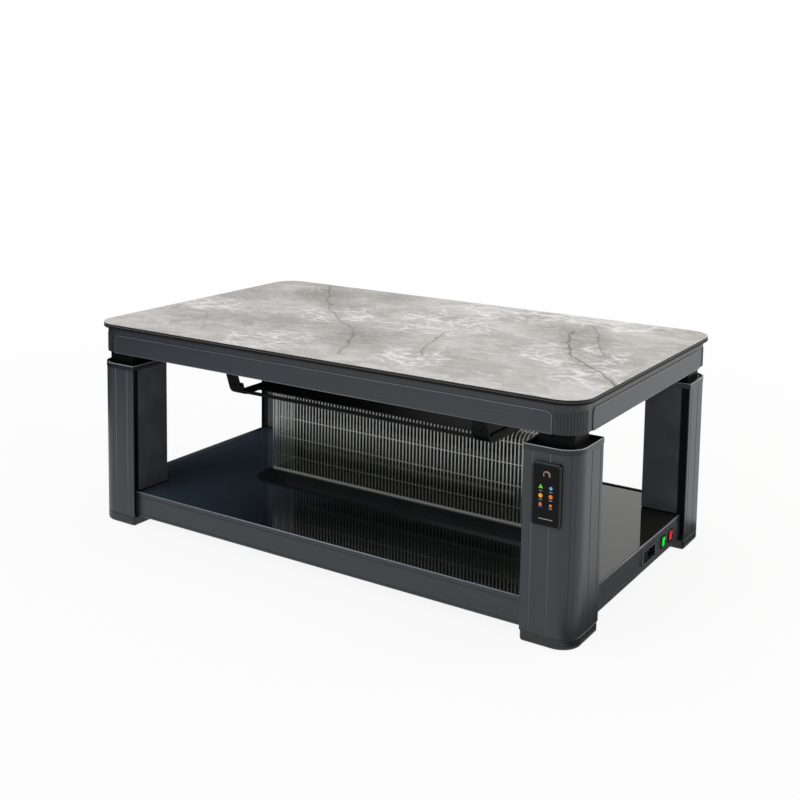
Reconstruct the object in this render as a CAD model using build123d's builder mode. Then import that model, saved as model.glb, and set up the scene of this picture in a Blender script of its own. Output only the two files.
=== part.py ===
from build123d import *

import os
from math import cos, radians, sin, sqrt, tan

# Lift-top electric heating table: a base with four telescoping legs, a stone top that rises on
# four columns, a wire-caged heater on the glass shelf, a touch panel, a mains inlet and two rockers.
#
# Frame: +X along the length, -Y is the front, +Z up, origin on the floor under the table's middle.
# Corner pieces are modelled once, at the front right corner, and mirrored to the other three.

os.makedirs("parts", exist_ok=True)

# ---- overall sizes ----
table_length = 1300.0
table_width = 800.0
table_height = 506.0          # with the top fully down
lift_travel = 240.0           # how far the top rises

# ---- clearances and small rounds ----
small_radius = 2.0            # rounded edges of boxes and trim
fit_gap = 0.3                 # fixed pieces that lie side by side
running_gap = 0.4             # column in its gland, guide bush in its channel, rod in its tube

# ---- top ----
slab_corner_radius = 60.0
stone_thickness = 6.0
stone_edge_chamfer = 0.6
backing_thickness = 6.0
backing_undercut = 1.5        # chamfer under the backing board's edge

# ---- apron ----
apron_inset = 8.0             # slab edge to the face of the apron's raised pad
apron_height = 61.0
apron_wall = 3.0
apron_top_flange = 32.0
apron_bottom_flange = 13.0
pad_proud = 2.4               # raised pad on the lower part of the apron
pad_height = 45.0
pad_corner_radius = 11.0
pad_edge_radius = 2.0
pad_lap = 14.0                # how far a pad laps over the corner block
block_reach_x = 78.0          # slab end to the rail seam on the long sides
block_reach_y = 94.0          # slab side to the rail seam on the short sides
block_wall = 5.0
rib_count = 12
rib_radius = 1.3
rib_sunk = 0.35               # how far a rib's centre lies inside the block's face
tongue_length = 28.0
tongue_overlap = 4.0
tongue_thickness = 3.4
tongue_margin = 7.0

# ---- legs ----
leg_inset = 9.0               # slab edge to the leg's outer faces
leg_size_x = 114.0
leg_size_y = 130.0
leg_corner_radius = 45.0
top_to_legs = 27.0            # apron's underside to the leg caps' rims, top down
foot_height = 23.0
foot_edge_radius = 6.0
foot_corner_radius = 8.0
foot_seam = 1.8
cap_height = 12.0
cap_proud = 0.8
cap_rim_drop = 4.0            # how far the guide channel's top lies below the rim
cap_corner_radius = 2.0
shell_wall = 3.0
shell_end_radius = 1.2
front_flutes = (20.5, 58.5)   # from the inner edge of the front face
front_flute_depth = 1.0
side_flutes = (57.0, 14.0)    # from the inner edge of the side face
side_flute_depth = 1.6
corner_flutes = (41.0, 55.0)  # degrees round the outer corner from the front face
corner_flute_depth = 0.6
cover_setback = 4.0           # shell's inner edge to the folded inner cover
cover_thickness = 1.5
cover_gap = 22.0              # outer face to the cover's free edge
cover_bend_radius = 1.5
channel_wall = 2.5
gland_height = 14.0

# ---- lifting columns ----
column_inset = 17.0           # leg's outer face to the column's outer face
column_size_x = 78.0
column_size_y = 86.0
column_radius = 12.0
column_wall = 3.0
column_bottom = 60.0
bush_height = 16.0
column_plate = 5.0
column_plate_reach = 4.0
column_plate_radius = 25.0

# ---- lifting drives, one in each leg ----
motor_length_x = 50.0
motor_length_y = 60.0
motor_height = 70.0
tube_radius = 16.0
tube_bore_radius = 12.0
tube_seat = 6.0               # bore's floor above the motor unit
rod_engagement = 64.0         # rod still inside the tube with the top fully up
rod_rest_gap = 0.5            # rod's end above the bore's floor with the top down

# ---- lower frame and shelf ----
rail_inset = 22.0             # slab edge to the outer face of the lower rails
rail_bottom = 24.0
rail_height = 62.0
rail_width = 25.0
rail_wall = 2.5
rail_lip = 4.0                 # edge of the rail that stands round the glass
rail_edge_radius = 2.0
rail_groove_top = 10.5        # from the rail's top
rail_groove_bottom = 7.0      # from the rail's bottom
rail_groove_width = 1.6
rail_groove_depth = 1.0
ledge_width = 12.0
ledge_thickness = 3.0
glass_thickness = 5.0
glass_drop = 3.0              # glass surface below the rail tops
board_thickness = 12.0
control_box_length = 240.0
control_box_width = 110.0
control_box_height = 30.0
control_box_radius = 6.0

# ---- heater ----
heater_middle_x = 33.0        # the heater stands a little right of the table's middle
plinth_length = 806.0
plinth_width = 250.0
plinth_corner_radius = 40.0
plinth_edge = 5.0
plinth_height = 21.0
plinth_wall = 2.5
plinth_top_margin = 9.0       # plinth's top face beyond the cage
plinth_top_radius = 14.0
cage_width = 150.0
cage_clearance = 7.0          # top of the cage to the straps' undersides
cage_bend_radius = 22.0
wire_size = 3.0
wire_pitch = 19.45
wire_count = 39
end_wire_count = 9
cross_wire_step = 50.0        # from one cross wire down to the next
cross_wire_drop = 4.0         # start of the bend down to the first cross wire
rim_height = 5.0
top_wire_offset = 42.0
core_length = 646.0
core_width = 96.0
core_clearance = 20.0         # top of the core to the top of the cage
core_edge_radius = 4.0
core_wall = 2.0
trough_depth = 30.0
trough_margin = 23.0          # core's top and bottom edges to the trough
trough_slope = 15.0
trough_end_wall = 14.0
rod_radius = 6.0
rod_from_edge = 35.0          # trough's edge to a heater rod's axis
rod_seat = 10.0               # how far a heater rod runs into the trough's end wall

# ---- heat guard under the top ----
pan_thickness = 3.0
strap_width = 36.0
strap_thickness = 4.0
strap_spacing = 690.0         # between the two straps' middles
strap_reach = 213.0           # table's middle to the foot of each hanger's leg
strap_lean = 20.0             # degrees that a hanger's leg leans out towards its top
strap_bend_radius = 30.0
strap_drop = 161.0            # underside pan to the straps' undersides
strap_tab = 34.0
guard_bar_size = 7.0
guard_bar_rise = 8.0          # underside of the bar above the strap's underside
bar_tab_thickness = 3.0
bar_tab_height = 13.0
bar_tab_length = 36.0         # how far a tab reaches over the strap
shield_thickness = 2.0
shield_reach = 156.0
shield_bearing = 6.0          # how far the shield lies on each strap
screw_radius = 2.0
screw_head_radius = 4.2
screw_head_height = 2.2
screw_length = 9.0
screw_hole_gap = 0.1

# ---- cap screws, one in each leg ----
cap_screw_radius = 1.2
cap_screw_head_radius = 2.3
cap_screw_head_height = 1.6
cap_screw_length = 9.0
cap_screw_from_face = 6.6     # leg's rounded corner face to the screw's axis

# ---- control panel on the front right leg ----
panel_from_edge = 54.5        # leg's inner edge to the panel's middle
panel_from_top = 94.0         # leg cap's rim to the panel's middle
panel_width = 62.0
panel_height = 128.0
panel_depth = 8.0
panel_corner_radius = 7.0
panel_edge_radius = 2.0
panel_rim = 4.0
screen_thickness = 2.0
screen_drop = 0.4
screen_gap = 0.2

# ---- mains inlet and rocker switches in the right rail ----
service_height = 55.0         # middle of inlet and rockers above the floor
inlet_from_rail_end = 206.5
inlet_flange_length = 94.0
inlet_flange_height = 35.0
inlet_flange_thickness = 1.6
inlet_flange_radius = 4.0
inlet_body_length = 74.0
inlet_body_height = 30.0
inlet_body_depth = 19.0
window_length = 67.0
window_height = 25.0
window_depth = 3.0
socket_offset = 12.0
socket_length = 28.0
socket_height = 19.0
socket_depth = 15.0
socket_corner = 5.0
pin_width = 2.0
pin_height = 4.0
pin_length = 10.0
pin_spacing = 7.0
line_pin_rise = -2.0
earth_pin_rise = 2.0
drawer_offset = -18.5
drawer_length = 21.0
drawer_height = 18.0
pull_radius = 6.0
rockers_from_rail_end = {"green": 116.5, "red": 68.5}
rocker_travel = 16.0          # degrees from one latched position to the other
rocker_width = 17.0
rocker_height = 19.0
rocker_pivot_depth = 4.0      # pivot's axis inside the rail's face
rocker_end_rise = 7.2         # rocker's ends above the pivot
rocker_middle_rise = 5.4
rocker_skirt = 3.2
pivot_pin_radius = 1.5
pivot_pin_length = 1.1
pivot_gap = 0.06
bezel_opening_width = 18.0
bezel_opening_height = 21.6
bezel_wall = 1.8
bezel_lip = 2.0
bezel_flange_thickness = 2.0
bezel_depth = 17.0

# ---- levels and planes worked out from the sizes above ----
half_length = table_length / 2
half_width = table_width / 2
stone_bottom = table_height - stone_thickness
apron_top = stone_bottom - backing_thickness
apron_bottom = apron_top - apron_height
pan_top = apron_top - apron_wall
pan_bottom = pan_top - pan_thickness
leg_top = apron_bottom - top_to_legs                 # top of the caps' rims
band_x = half_length - apron_inset - pad_proud      # faces of the apron's upper band
band_y = half_width - apron_inset - pad_proud
band_radius = slab_corner_radius - apron_inset - pad_proud
seam_x = half_length - block_reach_x
seam_y = half_width - block_reach_y
leg_x = half_length - leg_inset                     # outer faces of a leg
leg_y = half_width - leg_inset
leg_edge_x = leg_x - leg_size_x                     # inner edges of a leg
leg_edge_y = leg_y - leg_size_y
corner_x = leg_x - leg_corner_radius                # centre of a leg's round corner
corner_y = leg_y - leg_corner_radius
shell_top = leg_top - cap_height
channel_top = leg_top - cap_rim_drop
channel_outer_inset = shell_wall + fit_gap
channel_inner_inset = cover_setback + cover_thickness
column_x = leg_x - column_inset - column_size_x / 2
column_y = leg_y - column_inset - column_size_y / 2
column_top = pan_bottom - column_plate
rail_x = half_length - rail_inset                   # outer faces of the lower rails
rail_y = half_width - rail_inset
rail_top = rail_bottom + rail_height
rail_end_x = leg_edge_x + channel_inner_inset
rail_end_y = leg_edge_y + channel_inner_inset
glass_top = rail_top - glass_drop
board_top = glass_top - glass_thickness
board_bottom = board_top - board_thickness
plinth_top = glass_top + plinth_height
strap_bottom = pan_bottom - strap_drop
cage_top = strap_bottom - cage_clearance
cage_height = cage_top - plinth_top
cage_bend = cage_top - cage_bend_radius
cross_wire_top = cage_bend - cross_wire_drop
cross_wire_count = int((cross_wire_top - plinth_top - rim_height) // cross_wire_step) + 1
core_height = cage_height - core_clearance
trough_height = core_height - 2 * trough_margin
rod_rise = trough_height / 2 - rod_from_edge         # heater rods above and below the trough's middle
cage_length = (wire_count - 1) * wire_pitch + wire_size
strap_x = strap_spacing / 2
shield_bottom = strap_bottom + strap_thickness
panel_x = leg_edge_x + panel_from_edge
panel_middle_height = leg_top - panel_from_top
inlet_middle = rail_end_y - inlet_from_rail_end
rocker_middles = {colour: rail_end_y - reach for colour, reach in rockers_from_rail_end.items()}
bezel_width = bezel_opening_width + 2 * bezel_wall
bezel_height = bezel_opening_height + 2 * bezel_wall

corners = {
    "front_left": (-1, -1),
    "front_right": (1, -1),
    "back_left": (-1, 1),
    "back_right": (1, 1),
}
upright = (Align.CENTER, Align.CENTER, Align.MIN)
hanging = (Align.CENTER, Align.CENTER, Align.MAX)


def save(sub_part, name):
    """Label a finished sub-part and write it out."""
    sub_part.part.label = name
    export_step(sub_part.part, f"parts/{name}.step")


def save_at_corners(sub_part, name):
    """Write a piece made at the front right corner, and its mirror images at the others."""
    for corner, (side_x, side_y) in corners.items():
        with BuildPart() as copy:
            add(sub_part.part)
            if side_x < 0:
                mirror(about=Plane.YZ, mode=Mode.REPLACE)
            if side_y > 0:
                mirror(about=Plane.XZ, mode=Mode.REPLACE)
        save(copy, f"{name}_{corner}")


def save_turned(sub_part, name, turn):
    """Write a piece turned about the table's middle."""
    with BuildPart() as copy:
        add(sub_part.part, rotation=(0, 0, turn))
    save(copy, name)


def leg_outline(outer_inset, inner_inset, edge_radius=0.0):
    """Plan of the front right leg: a round outer corner, and straight inner faces."""
    east = leg_x - outer_inset
    south = -leg_y + outer_inset
    west = leg_edge_x + inner_inset
    north = -leg_edge_y - inner_inset
    radius = leg_corner_radius - outer_inset
    with BuildSketch(mode=Mode.PRIVATE) as outline:
        with BuildLine():
            Polyline((east, south + radius), (east, north), (west, north), (west, south))
            Line((west, south), (east - radius, south))
            RadiusArc((east - radius, south), (east, south + radius), -radius)
        make_face()
        if edge_radius:
            fillet(outline.vertices().group_by(Axis.X)[0], edge_radius)
            fillet(outline.vertices().sort_by_distance((east, north))[0], edge_radius)
    return outline.sketch


# ---- stone slab and its backing board ----
with BuildPart() as stone_slab:
    with BuildSketch(Plane.XY.offset(stone_bottom)):
        RectangleRounded(table_length, table_width, slab_corner_radius)
    extrude(amount=stone_thickness)
    chamfer(stone_slab.faces().sort_by(Axis.Z)[-1].edges(), stone_edge_chamfer)
save(stone_slab, "stone_slab")

with BuildPart() as backing_board:
    with BuildSketch(Plane.XY.offset(apron_top)):
        RectangleRounded(table_length, table_width, slab_corner_radius)
    extrude(amount=backing_thickness)
    chamfer(backing_board.faces().sort_by(Axis.Z)[0].edges(), backing_undercut)
save(backing_board, "backing_board")


# ---- apron rails: a C channel whose raised pad laps over the corner blocks ----
def apron_rail(face, seam):
    """Rail along X with its upper band at y = -face, ending at x = +-seam."""
    with BuildPart() as rail:
        with BuildSketch(Plane.YZ):
            with BuildLine():
                Polyline(
                    (-face, apron_bottom),
                    (-face + apron_bottom_flange, apron_bottom),
                    (-face + apron_bottom_flange, apron_bottom + apron_wall),
                    (-face + apron_wall, apron_bottom + apron_wall),
                    (-face + apron_wall, apron_top - apron_wall),
                    (-face + apron_top_flange, apron_top - apron_wall),
                    (-face + apron_top_flange, apron_top),
                    (-face, apron_top),
                    close=True,
                )
            make_face()
        extrude(amount=seam, both=True)
        with BuildSketch(Plane.XZ.offset(face)) as pad:
            with Locations((0, apron_bottom)):
                Rectangle(2 * (seam + pad_lap), pad_height, align=(Align.CENTER, Align.MIN))
            fillet(pad.vertices().group_by(Axis.Y)[-1], pad_corner_radius)
        extrude(amount=pad_proud)
        pad_face = rail.faces().sort_by(Axis.Y)[0]
        fillet(pad_face.edges().sort_by(Axis.Z)[1:], pad_edge_radius)
    return rail


long_apron = apron_rail(band_y, seam_x)
save(long_apron, "apron_rail_front")
save_turned(long_apron, "apron_rail_back", 180)
short_apron = apron_rail(band_x, seam_y)
save_turned(short_apron, "apron_rail_right", 90)
save_turned(short_apron, "apron_rail_left", -90)

# ---- ribbed corner block, with tongues into the two rails ----
block_arc_x = band_x - band_radius
block_arc_y = -band_y + band_radius
with BuildPart() as corner_block:
    with BuildSketch(Plane.XY.offset(apron_bottom)):
        with BuildLine():
            inner_x = band_x - block_wall
            inner_y = -band_y + block_wall
            inner_radius = band_radius - block_wall
            Line((seam_x, -band_y), (block_arc_x, -band_y))
            RadiusArc((block_arc_x, -band_y), (band_x, block_arc_y), -band_radius)
            Polyline((band_x, block_arc_y), (band_x, -seam_y), (inner_x, -seam_y), (inner_x, block_arc_y))
            RadiusArc((inner_x, block_arc_y), (block_arc_x, inner_y), inner_radius)
            Polyline((block_arc_x, inner_y), (seam_x, inner_y), (seam_x, -band_y))
        make_face()
    extrude(amount=apron_height)
    with BuildSketch(Plane.XY.offset(pan_top)):
        with BuildLine():
            Line((seam_x, -band_y), (block_arc_x, -band_y))
            RadiusArc((block_arc_x, -band_y), (band_x, block_arc_y), -band_radius)
            Polyline(
                (band_x, block_arc_y),
                (band_x, -seam_y),
                (band_x - apron_top_flange, -seam_y),
                (seam_x, -band_y + apron_top_flange),
                (seam_x, -band_y),
            )
        make_face()
    extrude(amount=apron_wall)
    with BuildSketch(Plane.XY.offset(apron_bottom + tongue_margin)):
        tongue_reach = tongue_length + tongue_overlap
        with Locations((seam_x - tongue_length, -band_y + apron_wall + fit_gap)):
            Rectangle(tongue_reach, tongue_thickness, align=(Align.MIN, Align.MIN))
        with Locations((band_x - apron_wall - fit_gap, -seam_y + tongue_length)):
            Rectangle(tongue_thickness, tongue_reach, align=(Align.MAX, Align.MAX))
    extrude(amount=apron_height - 2 * tongue_margin)
    rib_ring = band_radius - rib_sunk
    with BuildSketch(Plane.XY.offset(apron_bottom)):
        for rib in range(rib_count):
            angle = radians((rib + 0.5) * 90 / rib_count - 90)
            with Locations((block_arc_x + rib_ring * cos(angle), block_arc_y + rib_ring * sin(angle))):
                Circle(rib_radius)
    extrude(amount=pad_height)
save_at_corners(corner_block, "corner_block")

# ---- steel pan under the top: the columns and the heat guard hang from it ----
pan_inset = block_wall + tongue_thickness
with BuildPart() as underside_pan:
    with BuildSketch(Plane.XY.offset(pan_bottom)):
        RectangleRounded(
            2 * (band_x - pan_inset),
            2 * (band_y - pan_inset),
            band_radius - pan_inset,
        )
    extrude(amount=pan_thickness)
save(underside_pan, "underside_pan")

# ---- lifting column: a tube with a top plate and a guide bush round its foot ----
bush_play = channel_wall + running_gap
bush_outline = leg_outline(channel_outer_inset + bush_play, channel_inner_inset + bush_play)
with BuildPart() as lift_column:
    with BuildSketch(Plane.XY.offset(column_bottom)):
        with Locations((column_x, -column_y)):
            RectangleRounded(column_size_x, column_size_y, column_radius)
    extrude(amount=column_top - column_bottom)
    with BuildSketch(Plane.XY.offset(column_bottom)):
        add(bush_outline)
    extrude(amount=bush_height)
    with BuildSketch(Plane.XY.offset(column_bottom)):
        with Locations((column_x, -column_y)):
            RectangleRounded(
                column_size_x - 2 * column_wall,
                column_size_y - 2 * column_wall,
                column_radius - column_wall,
            )
    extrude(amount=column_top - column_bottom, mode=Mode.SUBTRACT)
    with BuildSketch(Plane.XY.offset(column_top)):
        with Locations((column_x, -column_y)):
            RectangleRounded(
                column_size_x + 2 * column_plate_reach,
                column_size_y + 2 * column_plate_reach,
                column_plate_radius,
            )
    extrude(amount=column_plate)
save_at_corners(lift_column, "lift_column")

# ---- lifting drives: motor unit and tube stay in the leg, the rod pushes the column's plate ----
bore_floor = foot_height + motor_height + tube_seat
tube_top = bore_floor + lift_travel + rod_engagement
drive_places = [(side_x * column_x, side_y * column_y) for side_x, side_y in corners.values()]
with BuildPart() as lift_motors:
    with BuildSketch(Plane.XY.offset(foot_height)):
        with Locations(*drive_places):
            RectangleRounded(motor_length_x, motor_length_y, small_radius)
    extrude(amount=motor_height)
    with BuildSketch(Plane.XY.offset(foot_height + motor_height)):
        with Locations(*drive_places):
            Circle(tube_radius)
    extrude(amount=tube_top - foot_height - motor_height)
    with BuildSketch(Plane.XY.offset(bore_floor)):
        with Locations(*drive_places):
            Circle(tube_bore_radius)
    extrude(amount=tube_top - bore_floor, mode=Mode.SUBTRACT)
save(lift_motors, "lift_motors")

rod_bottom = bore_floor + rod_rest_gap
with BuildPart() as lift_rods:
    with BuildSketch(Plane.XY.offset(rod_bottom)):
        with Locations(*drive_places):
            Circle(tube_bore_radius - running_gap)
    extrude(amount=column_top - rod_bottom)
save(lift_rods, "lift_rods")

# ---- leg guide channel, closed at the top by the gland round the column ----
screw_reach = (leg_corner_radius - cap_screw_from_face) / sqrt(2)
cap_screw_x = corner_x + screw_reach
cap_screw_y = corner_y + screw_reach
channel_outline = leg_outline(channel_outer_inset, channel_inner_inset)
channel_hollow = leg_outline(channel_outer_inset + channel_wall, channel_inner_inset + channel_wall)
with BuildPart() as leg_channel:
    with BuildSketch(Plane.XY.offset(foot_height)):
        add(channel_outline)
    extrude(amount=channel_top - foot_height)
    with BuildSketch(Plane.XY.offset(foot_height)):
        add(channel_hollow)
    extrude(amount=channel_top - gland_height - foot_height, mode=Mode.SUBTRACT)
    with BuildSketch(Plane.XY.offset(channel_top)):
        with Locations((column_x, -column_y)):
            RectangleRounded(
                column_size_x + 2 * running_gap,
                column_size_y + 2 * running_gap,
                column_radius + running_gap,
            )
        with Locations((cap_screw_x, -cap_screw_y)):
            Circle(cap_screw_radius + screw_hole_gap)
    extrude(amount=-gland_height, mode=Mode.SUBTRACT)
save_at_corners(leg_channel, "leg_channel")

# ---- fluted outer shell of a leg ----
flutes = [(leg_edge_x + x, -leg_y, 0, front_flute_depth) for x in front_flutes]
flutes += [(leg_x, -leg_edge_y - y, 0, side_flute_depth) for y in side_flutes]
for turn in corner_flutes:
    angle = radians(turn - 90)
    around = (corner_x + leg_corner_radius * cos(angle), -corner_y + leg_corner_radius * sin(angle))
    flutes.append((*around, turn, corner_flute_depth))
with BuildPart() as leg_shell:
    with BuildSketch(Plane.XY.offset(foot_height)) as shell_plan:
        with BuildLine():
            inner_x = leg_x - shell_wall
            inner_y = -leg_y + shell_wall
            inner_radius = leg_corner_radius - shell_wall
            Line((leg_edge_x, -leg_y), (corner_x, -leg_y))
            RadiusArc((corner_x, -leg_y), (leg_x, -corner_y), -leg_corner_radius)
            Polyline((leg_x, -corner_y), (leg_x, -leg_edge_y), (inner_x, -leg_edge_y), (inner_x, -corner_y))
            RadiusArc((inner_x, -corner_y), (corner_x, inner_y), inner_radius)
            Polyline((corner_x, inner_y), (leg_edge_x, inner_y), (leg_edge_x, -leg_y))
        make_face()
        fillet(shell_plan.vertices().group_by(Axis.X)[0], shell_end_radius)
        fillet(shell_plan.vertices().group_by(Axis.Y)[-1], shell_end_radius)
        for x, y, turn, depth in flutes:
            with Locations((x, y)):
                Rectangle(depth * sqrt(2), depth * sqrt(2), rotation=turn + 45, mode=Mode.SUBTRACT)
    extrude(amount=shell_top - foot_height)
save_at_corners(leg_shell, "leg_shell")

# ---- folded inner cover of a leg ----
cover_x = leg_edge_x + cover_setback
cover_y = -leg_edge_y - cover_setback
with BuildPart() as leg_cover:
    with BuildSketch(Plane.XY.offset(rail_top)) as cover_plan:
        with BuildLine():
            Polyline(
                (cover_x, -leg_y + cover_gap),
                (cover_x, cover_y),
                (leg_x - cover_gap, cover_y),
                (leg_x - cover_gap, cover_y - cover_thickness),
                (cover_x + cover_thickness, cover_y - cover_thickness),
                (cover_x + cover_thickness, -leg_y + cover_gap),
                close=True,
            )
        make_face()
        fillet(cover_plan.vertices().sort_by_distance((cover_x, cover_y))[0], cover_bend_radius)
    extrude(amount=shell_top - rail_top)
save_at_corners(leg_cover, "leg_cover")

# ---- cap ring round the top of a leg ----
cap_outline = leg_outline(-cap_proud, -cap_proud, cap_corner_radius)
cap_opening = leg_outline(shell_wall, channel_inner_inset - fit_gap)
with BuildPart() as leg_cap:
    with BuildSketch(Plane.XY.offset(shell_top)):
        add(cap_outline)
        add(cap_opening, mode=Mode.SUBTRACT)
    extrude(amount=cap_height)
    rim = leg_cap.faces().sort_by(Axis.Z)[-1]
    fillet(rim.outer_wire().edges(), cap_proud)
save_at_corners(leg_cap, "leg_cap")

# ---- foot: closes the leg at the floor, with a dark seam under the shell ----
foot_outline = leg_outline(0.0, 0.0, foot_corner_radius)
with BuildPart() as foot:
    with BuildSketch():
        add(foot_outline)
    extrude(amount=foot_height)
    chamfer(foot.faces().sort_by(Axis.Z)[-1].edges(), foot_seam)
    fillet(foot.faces().sort_by(Axis.Z)[0].edges(), foot_edge_radius)
save_at_corners(foot, "foot")

# ---- screws that hold the glands ----
with BuildPart() as cap_screws:
    screw_places = [
        (side_x * cap_screw_x, side_y * cap_screw_y, channel_top) for side_x, side_y in corners.values()
    ]
    with Locations(*screw_places):
        Cylinder(cap_screw_head_radius, cap_screw_head_height, align=upright)
    chamfer(cap_screws.faces().group_by(Axis.Z)[-1].edges(), cap_screw_head_height / 2)
    with Locations(*screw_places):
        Cylinder(cap_screw_radius, cap_screw_length, align=hanging)
save(cap_screws, "cap_screws")


# ---- lower rails: a tube with a grooved face, a lip round the glass and a ledge under the board ----
def lower_rail(face, half_span):
    """Rail along X with its outer face at y = -face, between x = +-half_span."""
    with BuildPart() as rail:
        with BuildSketch(Plane.YZ) as section:
            with BuildLine():
                Polyline(
                    (-face, rail_bottom),
                    (-face + rail_width, rail_bottom),
                    (-face + rail_width, board_top),
                    (-face + rail_lip, board_top),
                    (-face + rail_lip, rail_top),
                    (-face, rail_top),
                    close=True,
                )
            make_face()
            fillet(section.vertices().group_by(Axis.X)[0], rail_edge_radius)
            with Locations((-face + rail_wall, rail_bottom + rail_wall)):
                Rectangle(
                    rail_width - 2 * rail_wall,
                    board_top - rail_bottom - 2 * rail_wall,
                    align=(Align.MIN, Align.MIN),
                    mode=Mode.SUBTRACT,
                )
            with Locations((-face + rail_width, board_bottom)):
                Rectangle(ledge_width, ledge_thickness, align=(Align.MIN, Align.MAX))
            with Locations((-face, rail_top - rail_groove_top), (-face, rail_bottom + rail_groove_bottom)):
                Rectangle(2 * rail_groove_depth, rail_groove_width, mode=Mode.SUBTRACT)
        extrude(amount=half_span, both=True)
    return rail


long_rail = lower_rail(rail_y, rail_end_x)
save(long_rail, "lower_rail_front")
save_turned(long_rail, "lower_rail_back", 180)
short_rail = lower_rail(rail_x, rail_end_y)
save_turned(short_rail, "lower_rail_left", -90)

service_plane = Plane(origin=(rail_x, 0, 0), x_dir=(0, 1, 0), z_dir=(1, 0, 0))
rocker_places = [(middle, service_height) for middle in rocker_middles.values()]
with BuildPart() as service_rail:
    add(short_rail.part, rotation=(0, 0, 90))
    with BuildSketch(service_plane):
        with Locations((inlet_middle, service_height)):
            Rectangle(inlet_body_length + 2 * fit_gap, inlet_body_height + 2 * fit_gap)
        with Locations(*rocker_places):
            Rectangle(bezel_width + 2 * fit_gap, bezel_height + 2 * fit_gap)
    extrude(amount=-rail_width / 2, mode=Mode.SUBTRACT)
save(service_rail, "lower_rail_right")


# ---- shelf board and the glass on it ----
def shelf_plate(bottom, thickness, edge):
    """Plate that stops short of the rails' outer faces by edge, cut out round the leg channels."""
    with BuildPart() as plate:
        with BuildSketch(Plane.XY.offset(bottom)):
            Rectangle(2 * (rail_x - edge - fit_gap), 2 * (rail_y - edge - fit_gap))
            for side_x, side_y in corners.values():
                with Locations((side_x * leg_x, side_y * leg_y)):
                    Rectangle(
                        2 * (leg_x - rail_end_x + fit_gap),
                        2 * (leg_y - rail_end_y + fit_gap),
                        mode=Mode.SUBTRACT,
                    )
        extrude(amount=thickness)
    return plate


save(shelf_plate(board_bottom, board_thickness, rail_width), "shelf_board")
save(shelf_plate(board_top, glass_thickness, rail_lip), "shelf_glass")

# ---- control box that hangs under the shelf board ----
with BuildPart() as control_box:
    with BuildSketch(Plane.XY.offset(board_bottom)):
        RectangleRounded(control_box_length, control_box_width, control_box_radius)
    extrude(amount=-control_box_height)
    fillet(control_box.faces().sort_by(Axis.Z)[0].edges(), small_radius)
save(control_box, "control_box")

# ---- heater plinth: a low pressed base, open below, that slopes up to the cage ----
plinth_inside = (plinth_length - 2 * plinth_wall, plinth_width - 2 * plinth_wall)
with BuildPart() as heater_plinth:
    with BuildSketch(Plane.XY.offset(glass_top)):
        with Locations((heater_middle_x, 0)):
            RectangleRounded(plinth_length, plinth_width, plinth_corner_radius)
    extrude(amount=plinth_edge)
    with BuildSketch(Plane.XY.offset(glass_top + plinth_edge)):
        with Locations((heater_middle_x, 0)):
            RectangleRounded(plinth_length, plinth_width, plinth_corner_radius)
    with BuildSketch(Plane.XY.offset(plinth_top)):
        with Locations((heater_middle_x, 0)):
            RectangleRounded(
                cage_length + 2 * plinth_top_margin,
                cage_width + 2 * plinth_top_margin,
                plinth_top_radius,
            )
    loft()
    with BuildSketch(Plane.XY.offset(glass_top)):
        with Locations((heater_middle_x, 0)):
            RectangleRounded(*plinth_inside, plinth_corner_radius - plinth_wall)
    extrude(amount=plinth_edge - plinth_wall, mode=Mode.SUBTRACT)
    with BuildSketch(Plane.XY.offset(glass_top + plinth_edge - plinth_wall)):
        with Locations((heater_middle_x, 0)):
            RectangleRounded(*plinth_inside, plinth_corner_radius - plinth_wall)
    with BuildSketch(Plane.XY.offset(plinth_top - plinth_wall)):
        with Locations((heater_middle_x, 0)):
            RectangleRounded(
                cage_length + 2 * (plinth_top_margin - plinth_wall),
                cage_width + 2 * (plinth_top_margin - plinth_wall),
                plinth_top_radius - plinth_wall,
            )
    loft(mode=Mode.SUBTRACT)
save(heater_plinth, "heater_plinth")

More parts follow.
